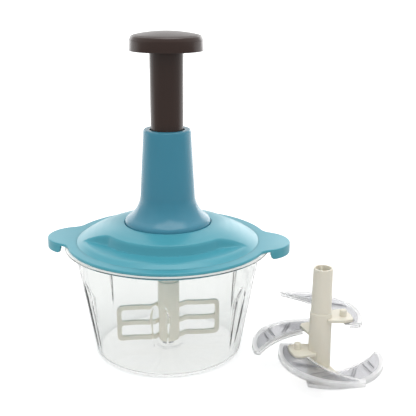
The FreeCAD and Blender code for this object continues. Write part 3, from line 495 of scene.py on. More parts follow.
class Recipe(Graph):
    """Nodes of one material."""

    def __init__(self, name: str) -> None:
        """Starts a material with its shader and its object coordinates."""
        self.material = bpy.data.materials.new(name)
        self.material.use_nodes = True
        super().__init__(self.material.node_tree)
        self.shader = self.nodes["Principled BSDF"].inputs
        self.place = self.nodes.new("ShaderNodeTexCoord").outputs["Object"]

    def give(self, name: str, setting: Setting) -> None:
        """Gives the shader a pattern or a value."""
        self.link(setting, self.shader[name])

    def noise(self, scale: float, detail: float = 2.0, stretch: Corner = (1, 1, 1)) -> Socket:
        """A cloudy pattern.

        Args:
            scale: how many clouds go to a metre.
            detail: how many finer layers it has.
            stretch: share of the scale along each axis.

        Returns:
            Its value, about 0.5 in the middle.
        """
        mapping = self.nodes.new("ShaderNodeMapping")
        mapping.inputs["Scale"].default_value = stretch
        self.link(self.place, mapping.inputs["Vector"])
        cloud = self.nodes.new("ShaderNodeTexNoise")
        cloud.inputs["Scale"].default_value = scale
        cloud.inputs["Detail"].default_value = detail
        self.link(mapping.outputs[0], cloud.inputs["Vector"])
        return cloud.outputs["Fac"]

    def blend(self, share: Socket, first: Sequence[float], second: Sequence[float],
              low: float = 0.3, high: float = 0.7) -> Socket:
        """Mixes two colours.

        Args:
            share: what the mixture goes by.
            first: the colour where the share is low.
            second: the colour where it is high.
            low: the share up to which the first colour stays pure.
            high: the share from which the second is pure.

        Returns:
            The mixed colour.
        """
        ramp = self.nodes.new("ShaderNodeValToRGB")
        for stop, position, colour in zip(ramp.color_ramp.elements, (low, high), (first, second)):
            stop.position, stop.color = position, colour
        self.link(share, ramp.inputs["Fac"])
        return ramp.outputs["Color"]

    def shades(self, share: Socket, colour: Colour, dark: float, light: float) -> Socket:
        """Colour between a darker and a lighter share of itself, by a pattern."""
        return self.blend(share, *(paint(*(c * f for c in colour)) for f in (dark, light)))

    def vary(self, pattern: Socket, low: float, high: float) -> Socket:
        """A number between low and high, by a pattern."""
        return self.span(pattern, 0.3, 0.7, low, high)

    def worn(self, colour: Socket, rubbed: Sequence[float]) -> Socket:
        """Rubs a colour along the edges, more here and less there.

        Args:
            colour: the colour between the edges.
            rubbed: the colour of a rubbed edge.

        Returns:
            The colour with its rubbed edges.
        """
        edge = self.nodes.new("ShaderNodeNewGeometry").outputs["Pointiness"]
        share = self.maths("MULTIPLY", self.span(edge, 0.53, 0.66, 0.0, 0.5),
                           self.vary(self.noise(260, 4), 0.2, 1.0))
        mixed = self.nodes.new("ShaderNodeMix")
        mixed.data_type = "RGBA"
        for name, setting in (("Factor", share), ("A", colour), ("B", rubbed)):
            self.link(setting, mixed.inputs[name])
        return mixed.outputs["Result"]

    def bump(self, height: Socket, depth: float) -> None:
        """Roughens the surface.

        Args:
            height: the pattern of the roughness.
            depth: how deep it goes, in millimetres.
        """
        bump = self.nodes.new("ShaderNodeBump")
        for name, setting in (("Distance", depth * MM), ("Strength", 0.3), ("Height", height)):
            self.link(setting, bump.inputs[name])
        self.give("Normal", bump.outputs["Normal"])


@dataclass(frozen=True)
class Finish:
    """What a piece is made of."""

    name: str
    colour: Colour

    def mix(self, recipe: Recipe) -> None:
        """Sets up the finish in a new material."""
        raise NotImplementedError

    def material(self) -> bpy.types.Material:
        """Makes the finish, or gives the one that was made before."""
        if self.name not in bpy.data.materials:
            self.mix(Recipe(self.name))
        return bpy.data.materials[self.name]


@dataclass(frozen=True)
class Moulding(Finish):
    """Coloured plastic from a mould: even colour with slight flow marks, and soft gloss."""

    drift: float = 0.012
    roughness: float = 0.4
    wear: Wear = Wear.SATIN
    glow: float = 0.0

    def mix(self, recipe: Recipe) -> None:
        """Sets up the finish in a new material."""
        body = recipe.shades(recipe.noise(24, 4), self.colour, 1 - self.drift, 1 + self.drift)
        rubbed = paint(*(c + (255 - c) * 0.35 for c in self.colour))
        spread = self.wear.value
        rough = recipe.vary(recipe.noise(70, 5), self.roughness - spread, self.roughness + spread)
        recipe.give("Base Color", recipe.worn(body, rubbed))
        recipe.give("Roughness", rough)
        recipe.bump(recipe.noise(1800, 2), 0.05 * spread)
        recipe.give("IOR", 1.5)
        recipe.give("Subsurface Weight", self.glow)
        recipe.give("Subsurface Radius", (0.004, 0.005, 0.006))


@dataclass(frozen=True)
class ClearMoulding(Finish):
    """Clear plastic with a faint tint, and painted shade that greys it where it is seen at a grazing angle.
    """

    edge: Colour
    roughness: float
    ior: float

    def mix(self, recipe: Recipe) -> None:
        """Sets up the finish in a new material."""
        facing = recipe.nodes.new("ShaderNodeLayerWeight")
        facing.inputs["Blend"].default_value = 0.25
        # Painted shade: the edge colour greys the wall where it is seen at a grazing angle.
        face_tint_and_edge_shade = paint(*self.colour), paint(*self.edge)
        rough = recipe.vary(recipe.noise(120, 4), self.roughness * 0.6, self.roughness * 1.4)
        recipe.give("Base Color", recipe.blend(facing.outputs["Facing"], *face_tint_and_edge_shade, 0.35, 1.0))
        recipe.give("Roughness", rough)
        recipe.bump(recipe.noise(45, 2), 0.012)
        recipe.give("IOR", self.ior)
        recipe.give("Transmission Weight", 0.95)


@dataclass(frozen=True)
class Metal(Finish):
    """Metal with fine marks from its making along one axis."""

    roughness: float
    grain: Corner

    def mix(self, recipe: Recipe) -> None:
        """Sets up the finish in a new material."""
        marks = recipe.noise(420, 6, self.grain)
        recipe.give("Base Color", recipe.shades(marks, self.colour, 0.93, 1.04))
        recipe.give("Roughness", recipe.vary(marks, self.roughness * 0.75, self.roughness * 1.25))
        recipe.bump(marks, 0.02)
        recipe.give("Metallic", 1.0)


@dataclass(frozen=True)
class Frosted(Finish):
    """Milky plastic: some light goes through it, the rest is scattered."""

    clearness: float
    roughness: float
    ior: float = 1.5

    def mix(self, recipe: Recipe) -> None:
        """Sets up the finish in a new material."""
        rough = recipe.vary(recipe.noise(90, 3), self.roughness - 0.04, self.roughness + 0.04)
        recipe.give("Base Color", recipe.shades(recipe.noise(90, 4), self.colour, 0.97, 1.01))
        recipe.give("Roughness", rough)
        recipe.bump(recipe.noise(700, 2), 0.003)
        recipe.give("IOR", self.ior)
        recipe.give("Transmission Weight", self.clearness)


BLUE = Moulding("blue_moulding", (75, 163, 180), roughness=0.31, wear=Wear.POLISHED)
# The tower is the lid's blue plastic, darker here: painted shade for its upright sides.
SHADED_TOWER_BLUE = Moulding("shaded_tower_blue_moulding", (62, 137, 161), roughness=0.23, wear=Wear.POLISHED)
DARK = Moulding("dark_moulding", (52, 35, 29), drift=0.015, roughness=0.24, wear=Wear.POLISHED)
BEIGE = Moulding("beige_moulding", (231, 226, 211), glow=0.25)
GREY_BEIGE = Moulding("grey_beige_moulding", (240, 235, 220), glow=0.15)
ACETAL = Moulding("white_acetal", (232, 232, 226), drift=0.02, roughness=0.35, wear=Wear.MATT)
# Each clear moulding's second colour greys it at a grazing angle: painted shade for the grey edges of clear
# plastic.
CLEAR = ClearMoulding("clear_moulding", (242, 243, 242), (236, 237, 238), roughness=0.01, ior=1.27)
# Whitish frosted finish for the bowl rim's outer top edge: a painted highlight along the rim.
RIM_HIGHLIGHT = Frosted("rim_highlight_moulding", (250, 250, 246), clearness=0.3, roughness=0.2)
WINDOW = ClearMoulding("guard_window", (252, 252, 253), (240, 241, 244), roughness=0.03, ior=1.25)
BORDER = Frosted("guard_border", (254, 254, 254), clearness=0.8, roughness=0.38, ior=1.17)
# Dark grey for the guard's ribs and the seam round its window: painted shade for the dark lines that the
# clear plastic shows there.
RIB_SHADE = Frosted("guard_rib_shade", (146, 146, 152), clearness=0.2, roughness=0.3, ior=1.3)
BLADE_STEEL = Metal("ground_steel", (196, 196, 199), roughness=0.36, grain=(8.0, 1.0, 1.0))
PIN_STEEL = Metal("turned_steel", (196, 197, 200), roughness=0.25, grain=(1.0, 1.0, 12.0))


def dress(finish: Finish, *nodes: str) -> None:
    """Gives a finish to nodes of the frame."""
    for node in nodes:
        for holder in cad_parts[node].material_slots:
            holder.material = finish.material()


def coat(piece: Piece, *finishes: Finish) -> None:
    """Gives a piece its materials in place of any that it has."""
    piece.data.materials.clear()
    for finish in finishes:
        piece.data.materials.append(finish.material())


def finish_piece(piece: Piece, finish: Finish, body: str,
                 slot: str, *nodes: str) -> Piece:
    """Coats a piece and hands it over to the frame.

    Args:
        piece: the modelled piece.
        finish: what it is made of, unless it is coated already.
        body: the moving body that it rides on.
        slot: the record's material slot; not used.
        nodes: nodes of the frame that it stands for.

    Returns:
        The piece.
    """
    if not piece.data.materials:
        coat(piece, finish)
    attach(piece, body)
    if nodes:
        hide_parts(*nodes)
    log.info("%s: %d faces", piece.name, len(piece.data.polygons))
    return piece


# ------------------------ bowl
@dataclass
class Bowl:
    """Clear bowl: drafted wall with six hollows, turned-out rim, and the boss for the pin."""

    foot: float = 61.1
    draft: float = 0.176
    wall: float = 2.0
    floor: float = 2.4
    flat_r: float = 50.0
    step_high: float = 1.6
    boss_r: float = 5.5
    boss_high: float = 4.1
    pin_r: float = 3.03
    pin_low: float = 1.2
    rim_r: float = 85.03
    rim_low: float = 92.8
    rim_top: float = 94.8
    hollow_r: float = 6.0
    hollow_depth: float = 4.4
    hollow_top: float = 69.0
    hollow_deepest: float = 57.0
    hollow_end: float = 14.0
    hollow_at: float = -95.5
    hollow_count: int = 6
    crowd_half: float = 20.0
    crowd_near: float = 0.33
    crowd_far: float = 2.34
    rim_highlight_band: float = 0.75

    def outer(self, z: float) -> float:
        """Outside radius of the wall."""
        return self.foot + self.draft * z

    def outline(self) -> list[Spot]:
        """Half section of the bowl, from the axis under the floor to the axis in the pin's hole."""
        inside = self.outer(self.rim_top) - self.wall
        floor, step, boss = self.floor, self.floor + self.step_high, self.floor + self.boss_high
        corners = [(0, 0, 0), (52, 0, 0), (56, 0, 0), (self.foot, 0, 4.0),
                   (self.outer(self.rim_low), self.rim_low, 0.6), (self.rim_r, self.rim_low, 0.8),
                   (self.rim_r, self.rim_top, 0.8), (inside, self.rim_top, 0.5),
                   (self.outer(floor) - self.wall, floor, 4.0), (54.5, floor, 0), (52, floor, 0),
                   (15, floor, 0), (13.6, floor, 0.5), (11.2, step, 0.4), (self.boss_r, step, 0.4),
                   (self.boss_r, boss, 0.5), (self.pin_r, boss, 0.3), (self.pin_r, self.pin_low, 0),
                   (0, self.pin_low, 0)]
        return spaced(soften(corners, closed=False, steps=8), 1.3, lambda spot: spot[0] > 55)

    def hollowed(self, point: Vector) -> Vector:
        """Crowds the points of the plain bowl about the hollows and presses the hollows in.

        Args:
            point: a point of the plain bowl.

        Returns:
            Where it goes.
        """
        r = math.hypot(point.x, point.y)
        if r < self.flat_r:
            return point
        pitch = 360 / self.hollow_count
        turn = azimuth(AXIS, point) - self.hollow_at
        middle = round(turn / pitch) * pitch
        off = turn - middle
        near, far = min(abs(off), self.crowd_half), max(abs(off) - self.crowd_half, 0.0)
        share = near * self.crowd_near + far * self.crowd_far
        bearing = self.hollow_at + middle + math.copysign(share, off)
        aside = abs(r * math.sin(math.radians(share)))
        rise = (self.hollow_top - point.z) / (self.hollow_top - self.hollow_deepest)
        fall = (point.z - self.hollow_end) / (self.hollow_deepest - self.hollow_end)
        depth = soft_min(rise, fall, 0.12) * self.hollow_depth
        if r < self.rim_r - 4 and self.hollow_end - 2 < point.z < self.hollow_top + 2:
            within = r < self.outer(point.z) - self.wall / 2
            cut_r = self.hollow_r + (self.wall if within else 0)
            if aside < cut_r:
                push = depth - cut_r + math.sqrt(cut_r ** 2 - aside ** 2)
                r -= soft_max(push, 0.0, 0.8) if push > -0.8 else 0.0
        return Vector((*polar(r, bearing), point.z))

    def build(self) -> None:
        """Builds the bowl and dresses the pin in its floor."""
        bowl = Bench.lathe("clear_bowl", self.outline(), steps=216, closed=False, angle=40)
        Bench.press(bowl, self.hollowed)
        coat(bowl, CLEAR, RIM_HIGHLIGHT)
        # The faces on the rim's outer top edge take the second finish, a painted highlight along the rim.
        for face in bowl.data.polygons:
            middle = face.center / MM
            outside = math.hypot(middle.x, middle.y) > self.rim_r - 2.2
            if outside and middle.z > self.rim_top - self.rim_highlight_band:
                face.material_index = 1
        finish_piece(bowl, CLEAR, "container", "clear_plastic", "bowl")
        dress(PIN_STEEL, "pivot_pin")


# ------------------------ lid
@dataclass
class Lid:
    """Blue lid: domed shell with two soft pockets for the fingers, flange with two ears, and skirt."""

    turn: float = -7.3
    under: float = 95.1
    top: float = 97.1
    flange_r: float = 83.03
    foot_r: float = 74.63
    skirt_r: float = 75.24
    hole_r: float = 73.4
    dome_centre: Spot = (28.067, 34.922)
    dome_r: float = 77.68
    dome_top: float = 112.1
    edge_r: float = 36.9
    recess_r: float = 35.8
    recess: float = 110.7
    wall: float = 2.2
    well_r: float = 20.0
    well_floor: float = 95.0
    ear_at: float = 76.53
    ear_r: float = 24.5
    ear_blend: float = 12.0
    lip_low: float = 88.6
    lip_half: float = 68.0
    lip_wall: float = 2.0
    lip_round: float = 4.0
    pocket_r: float = 55.2
    pocket_floor: float = 100.4
    pocket_draft: float = 0.22
    pocket_even: float = 51.0
    pocket_bend: float = 0.081
    pocket_power: float = 1.76

    def dome(self, r: float, inset: float = 0.0) -> float:
        """Height of the dome's curve at a radius, moved in by the thickness of the wall."""
        return self.dome_centre[1] + math.sqrt((self.dome_r - inset) ** 2 - (r - self.dome_centre[0]) ** 2)

    def outline(self) -> list[Spot]:
        """Section of the shell, round from the well's hole over the dome and back inside."""
        skirt = self.skirt_r
        outside = [(r, self.dome(r), 0) for r in (42, 48, 54, 60, 66, 71)]
        inside = [(r, self.dome(r, self.wall), 0) for r in (70, 66, 60, 54, 48, 42)]
        corners = [(6.5, self.well_floor, 0), (6.5, 97.0, 0), (self.well_r - 2, 97.0, 0.8),
                   (self.well_r - 2, self.recess, 0.4), (self.recess_r, self.recess, 0.4),
                   (self.recess_r, self.dome_top, 0.6), (self.edge_r, self.dome_top, 1.0)]
        corners += outside + [(self.foot_r, self.top, 1.5), (skirt + 0.6, self.top, 0),
                              (skirt, self.under, 0), (skirt - 1.1, 88.5, 0.5), (skirt - 3.1, 88.5, 0.5),
                              (skirt - 3.0, self.under, 0)]
        ceiling = self.recess - self.wall
        corners += inside + [(self.recess_r, ceiling, 0.5), (self.well_r, ceiling, 0.8),
                             (self.well_r, self.well_floor, 0.5)]
        spots = soften(corners)

        def pressed(spot: Spot) -> bool:
            """Whether a point lies on the part of the dome that the pockets reach."""
            return spot[0] > 46 and spot[1] >= self.dome(spot[0]) - 0.4

        fine = spaced(spots + spots[:1], 0.55, pressed)
        return spaced(fine, 2.2, lambda spot: spot[0] > 38 and spot[1] > self.top)[:-1]

    def pocketed(self, point: Vector) -> Vector:
        """Presses the two pockets into the plain dome.

        Args:
            point: a point of the plain dome.

        Returns:
            Where it goes.
        """
        r = math.hypot(point.x, point.y)
        if not (42 < r < self.foot_r and point.z > self.top + 0.05):
            return point
        outer_side = point.z > self.dome(r, self.wall / 2)
        inset = 0.0 if outer_side else self.wall
        turn = abs(azimuth(AXIS, (point.x, abs(point.y))) - 90)
        past = max(turn - self.pocket_even, 0.0)
        foot = self.pocket_r + self.pocket_bend * past ** self.pocket_power
        slant = self.pocket_bend * self.pocket_power * past ** (self.pocket_power - 1)
        off = (foot - r) / math.hypot(1.0, slant / math.radians(foot))
        floor = self.pocket_floor - inset + soft_max(off / self.pocket_draft, 0.0, 2.0)
        return Vector((point.x, point.y, soft_min(point.z, floor, 1.3)))

    def flange(self) -> Piece:
        """The flange's plate with its two ears."""
        blend_r = self.flange_r + self.ear_blend
        ear_reach = self.ear_r + self.ear_blend
        x = (blend_r ** 2 - ear_reach ** 2 + self.ear_at ** 2) / (2 * self.ear_at)
        y = math.sqrt(blend_r ** 2 - x ** 2)
        leave, meet = azimuth(AXIS, (x, y)), azimuth((self.ear_at, 0), (x, y))
        quarter = arc((x, y), self.ear_blend, meet - 180, leave - 180, 10)
        right = arc((self.ear_at, 0), self.ear_r, 0, meet, 16)[:-1] + quarter
        back = arc((0, 0), self.flange_r, leave, 90, 40)[1:]
        first = right + back
        upper = first + [(-a, b) for a, b in reversed(first[:-1])]
        outline = upper + [(a, -b) for a, b in reversed(upper[1:-1])]
        plate = Bench.slab("flange_plate", outline, self.under, self.top)
        hole = Bench.lathe("hole", [(0, 90), (self.hole_r, 90), (self.hole_r, 100), (0, 100)], 128, False)
        Bench.carve(plate, hole)
        outer = self.flange_r - 3
        Bench.bevel(plate, lambda p: p.z > self.top - 0.01 and math.hypot(p.x, p.y) > outer, 0.7, 3)
        return plate

    def lip(self) -> Piece:
        """Turned-down lip under the end of the right ear."""
        inner, high = self.ear_r - self.lip_wall, self.under + 0.4
        spots = soften([(inner, self.lip_low, 0.7), (self.ear_r, self.lip_low, 0.7),
                        (self.ear_r, high, 0), (inner, high, 0)])
        spots = spaced(spots + spots[:1], 1.6, lambda spot: True)[:-1]
        start = polar(1, self.lip_half)
        lip = Bench.chain("lip", [(r * start[0], r * start[1], z) for r, z in spots], True)
        bpy.ops.mesh.edge_face_add()
        bpy.ops.mesh.spin(steps=60, angle=math.radians(2 * self.lip_half), center=(0, 0, 0),
                          axis=(0, 0, 1))
        Bench.close(lip)

        def rounded(point: Vector) -> Vector:
            """Lifts the low corners at the lip's two ends.

            Args:
                point: a point of the square-ended lip.

            Returns:
                Where it goes.
            """
            left = math.radians(self.lip_half - abs(azimuth(AXIS, point))) * self.ear_r
            if left > self.lip_round or point.z > self.under:
                return point
            drop = math.sqrt(self.lip_round ** 2 - (self.lip_round - max(left, 0)) ** 2)
            low = self.lip_low + self.lip_round - drop
            share = (point.z - self.lip_low) / (high - self.lip_low)
            return Vector((point.x, point.y, low + share * (high - low)))

        Bench.press(lip, rounded)
        Bench.place(lip, (self.ear_at, 0, 0))
        return lip

    def build(self) -> None:
        """Builds the lid."""
        shell = Bench.lathe("blue_lid", self.outline(), steps=400, angle=40)
        Bench.press(shell, self.pocketed)
        lip = self.lip()
        other = Bench.twin(lip, "other_lip")
        Bench.place(other, turn=180)
        Bench.join(shell, self.flange(), lip, other)
        Bench.place(shell, turn=self.turn)
        Bench.shade(shell, 50)
        finish_piece(shell, BLUE, "lid_assembly", "blue_plastic", "lid")
        dress(PIN_STEEL, "tower_screws", "spring_seat", "thrust_washer")
        dress(ACETAL, "spindle_bush")


# ------------------------ tower
@dataclass
class Tower:
    """Blue tower with a flared foot, in which the plunger runs."""

    bore: float = 15.4
    mouth: float = 14.2
    guide: Spot = (13.85, 15.35)
    guide_foot: float = 170.3
    foot: float = 110.7
    inner_r: float = 20.0
    rim: tuple[Spot, ...] = ((35.3, 1.3), (35.15, 2.4), (34.75, 3.4), (34.0, 4.4), (32.8, 5.4))
    top: float = 189.0
    top_r: float = 19.1
    neck: float = 3.0
    flare_centre: Spot = (46.9, 25.5)
    flare_r: float = 24.7

    def build(self) -> None:
        """Builds the tower and the guide in its neck."""
        z = self.foot
        rim = [(r, z + rise, 0) for r, rise in self.rim]
        middle = (self.flare_centre[0], z + self.flare_centre[1])
        flare = [(x, y, 0) for x, y in arc(middle, self.flare_r, 230, 180, 16)]
        shoulder = self.top - self.neck
        corners = [(self.inner_r, z, 0.3), (self.rim[0][0], z, 0.3)] + rim + flare
        corners += [(self.top_r, self.top, 1.6), (self.mouth, self.top, 0.7), (self.mouth, shoulder, 0.2),
                    (self.bore, shoulder, 0), (self.bore, z + 10, 0.5), (self.inner_r, z + 8, 0.5)]
        outline = spaced(soften(corners, steps=6), 4.0, lambda spot: spot[1] > z + 20)
        tower = Bench.lathe("blue_tower", outline, steps=160, angle=40)
        # The tower's blue is a darker copy of the lid's: painted shade.
        finish_piece(tower, SHADED_TOWER_BLUE, "lid_assembly", "blue_plastic", "tower")
        inner, outer = self.guide
        low, high = self.guide_foot, shoulder - 0.05
        ring = soften([(inner, low, 0.3), (outer, low, 0.3), (outer, high, 0.3), (inner, high, 0.3)])
        guide = Bench.lathe("white_guide", ring, steps=128, angle=40)
        finish_piece(guide, ACETAL, "lid_assembly", "white_plastic", "plunger_guide")


# ------------------------ plunger
@dataclass
class Plunger:
    """Dark plunger: tube, knob and the domed cap in the knob."""

    knob_low: float = 250.7
    knob_wall: float = 9.5
    cap_foot: float = 11.75
    cap_top: float = 14.9
    cap_rise: float = 3.0
    knob_r: float = 29.4
    cap_r: float = 26.2
    socket_r: float = 12.5
    tube_r: Spot = (12.9, 13.6)
    tube_bore: float = 10.3
    flange_low: float = 166.0
    flange_high: float = 170.0
    flange_r: float = 14.99
    plug_low: float = 2.3
    plug_high: float = 5.3
    screw_r: float = 1.4

    def tube(self) -> None:
        """Builds the tube with the flange at its foot and its closed upper end."""
        z = self.knob_low
        low, high, plug_r = self.flange_low, self.flange_high, self.socket_r - 0.05
        plug_low, plug_high = z + self.plug_low, z + self.plug_high
        corners = [(self.tube_bore, low, 0.2), (self.flange_r, low, 0.3), (self.flange_r, high, 0.3),
                   (self.tube_r[0], high, 0.2), (self.tube_r[1], z - 0.05, 0.1), (plug_r, z - 0.05, 0),
                   (plug_r, plug_high, 0.3), (self.screw_r, plug_high, 0), (self.screw_r, plug_low, 0),
                   (self.tube_bore, plug_low, 0.3)]
        tube = Bench.lathe("dark_tube", soften(corners), steps=128, angle=40)
        finish_piece(tube, DARK, "plunger", "dark_plastic", "plunger_tube")

    def build(self) -> None:
        """Builds the tube, the knob and its cap and dresses the rest."""
        self.tube()
        z, cap_r = self.knob_low, self.cap_r
        wall, seat = z + self.knob_wall, z + self.cap_foot
        corners = [(self.socket_r, z, 0.3), (self.knob_r, z, 0.35), (self.knob_r - 0.4, z + 8.2, 2.8),
                   (self.knob_r - 1.6, z + 11.0, 2.2), (cap_r, seat, 0.2), (cap_r, wall, 0),
                   (self.socket_r, wall, 0)]
        knob = Bench.lathe("dark_knob", soften(corners, steps=6), steps=160, angle=40)
        finish_piece(knob, DARK, "plunger", "dark_plastic", "knob")
        ball = (cap_r ** 2 + self.cap_rise ** 2) / (2 * self.cap_rise)
        middle = z + self.cap_top - ball
        dome = [(r, middle + math.sqrt(ball ** 2 - r ** 2), 0) for r in (0, 4, 8, 12, 16, 20, 23, 25.2)]
        corners = dome + [(cap_r - 0.02, seat, 0.15), (cap_r - 0.05, wall + 0.02, 0.2), (0, wall + 0.02, 0)]
        cap = Bench.lathe("dark_cap", soften(corners, closed=False), steps=128, closed=False, angle=40)
        finish_piece(cap, DARK, "plunger", "dark_plastic", "knob_cap")
        dress(PIN_STEEL, "knob_screw", "retainer_screws", "nut_retainer")
        dress(ACETAL, "drive_nut")


# ------------------------ drive
@dataclass
class Drive:
    """Twisted spindle with its coupling, and the return spring round it."""

    spring_r: float = 8.9
    wire_r: float = 0.5
    low: float = 98.3
    high: float = 164.0
    turns: int = 7
    fineness: int = 36

    def spring(self) -> Piece:
        """The return spring, wound from a round wire."""
        rim = arc((self.spring_r, self.low), self.wire_r, 0, 360, 12)[:-1]
        coil = Bench.chain("return_coil", [(r, 0.0, z) for r, z in rim], True)
        pitch = (self.high - self.low) / self.turns * MM
        Bench.modify(coil, "SCREW", screw_offset=pitch, iterations=self.turns, steps=self.fineness,
                     render_steps=self.fineness, use_normal_calculate=True)
        Bench.edit(everything=False)
        bpy.ops.mesh.select_non_manifold()
        bpy.ops.mesh.fill_holes(sides=0)
        Bench.close(coil, 60)
        return coil

    def build(self) -> None:
        """Builds the spring and dresses the rest of the drive."""
        coil = finish_piece(self.spring(), PIN_STEEL, "lid_assembly", "steel", "return_spring")
        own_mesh(coil)
        dress(PIN_STEEL, "drive_spindle", "coupling_screw")
        dress(ACETAL, "drive_coupling")


# ------------------------ whisk
@dataclass
class Whisk:
    """Whisk in the bowl: hollow shaft with two waved paddles."""

    foot: float = 6.8
    top: float = 94.1
    turn: float = 9.4
    reach: float = 44.3
    low: float = 7.8
    high: float = 39.4
    bar: float = 3.9
    post: float = 3.8
    thick: float = 2.6
    wave: float = 1.9
    marks: tuple[Spot, ...] = ((0.0, 0.0), (4.0, 0.0), (9.0, -0.8), (16.0, 1.0), (25.0, 0.2),
                               (33.0, -0.25), (60.0, 0.3))
    bore: float = 3.06
    socket_r: float = 6.0
    socket_low: float = 76.1
    slots_low: float = 76.2

    def bend(self, u: float) -> float:
        """The wave of a paddle.

        Args:
            u: distance from the axis.

        Returns:
            How far the paddle stands off its plane there.
        """
        for (a, p), (b, q) in zip(self.marks, self.marks[1:]):
            if u <= b:
                share = (u - a) / (b - a)
                return self.wave * (p + (q - p) * share * share * (3 - 2 * share))
        return 0.0

    def paddle(self, name: str) -> Piece:
        """A paddle along +X: a frame with two windows, bent into its wave.

        Args:
            name: name of the paddle.

        Returns:
            The paddle.
        """
        frame_line = soften([(3.0, self.low, 0), (self.reach, self.low, 4.5),
                             (self.reach, self.high, 4.5), (3.0, self.high, 0)], steps=6)
        half = self.thick / 2
        paddle = Bench.slab(name, frame_line, -half, half)
        window = (self.high - self.low - 3 * self.bar) / 2
        for z in (self.low + self.bar, self.high - self.bar - window):
            right = self.reach - self.post
            hole = soften([(4.6, z, 0), (right, z, 2.2), (right, z + window, 2.2), (4.6, z + window, 0)],
                          steps=5)
            Bench.carve(paddle, Bench.slab("window", hole, -9, 9))
        Bench.slice(paddle, [6 + 1.3 * k for k in range(29)])
        Bench.round_edges(paddle, 0.75, 3, 50)
        Bench.place(paddle, tip=90)
        Bench.press(paddle, lambda p: Vector((p.x, p.y + self.bend(p.x), p.z)))
        return paddle

    def build(self) -> None:
        """Builds the whisk."""
        corners = [(self.bore, self.foot, 0.3), (9.1, self.foot, 0.8), (9.1, 60, 0.8), (8.0, 60, 0.2),
                   (7.5, self.top, 0.6), (self.socket_r, self.top, 0.3),
                   (self.socket_r, self.socket_low, 0), (self.bore, self.socket_low, 0)]
        whisk = Bench.lathe("beige_whisk", soften(corners), steps=96)
        Bench.slots(whisk, self.slots_low)
        right, left = self.paddle("right_paddle"), self.paddle("left_paddle")
        Bench.place(right, turn=self.turn)
        Bench.place(left, turn=self.turn + 180)
        Bench.join(whisk, right, left)
        finish_piece(whisk, GREY_BEIGE, "whisk_body", "beige_plastic", "whisk")


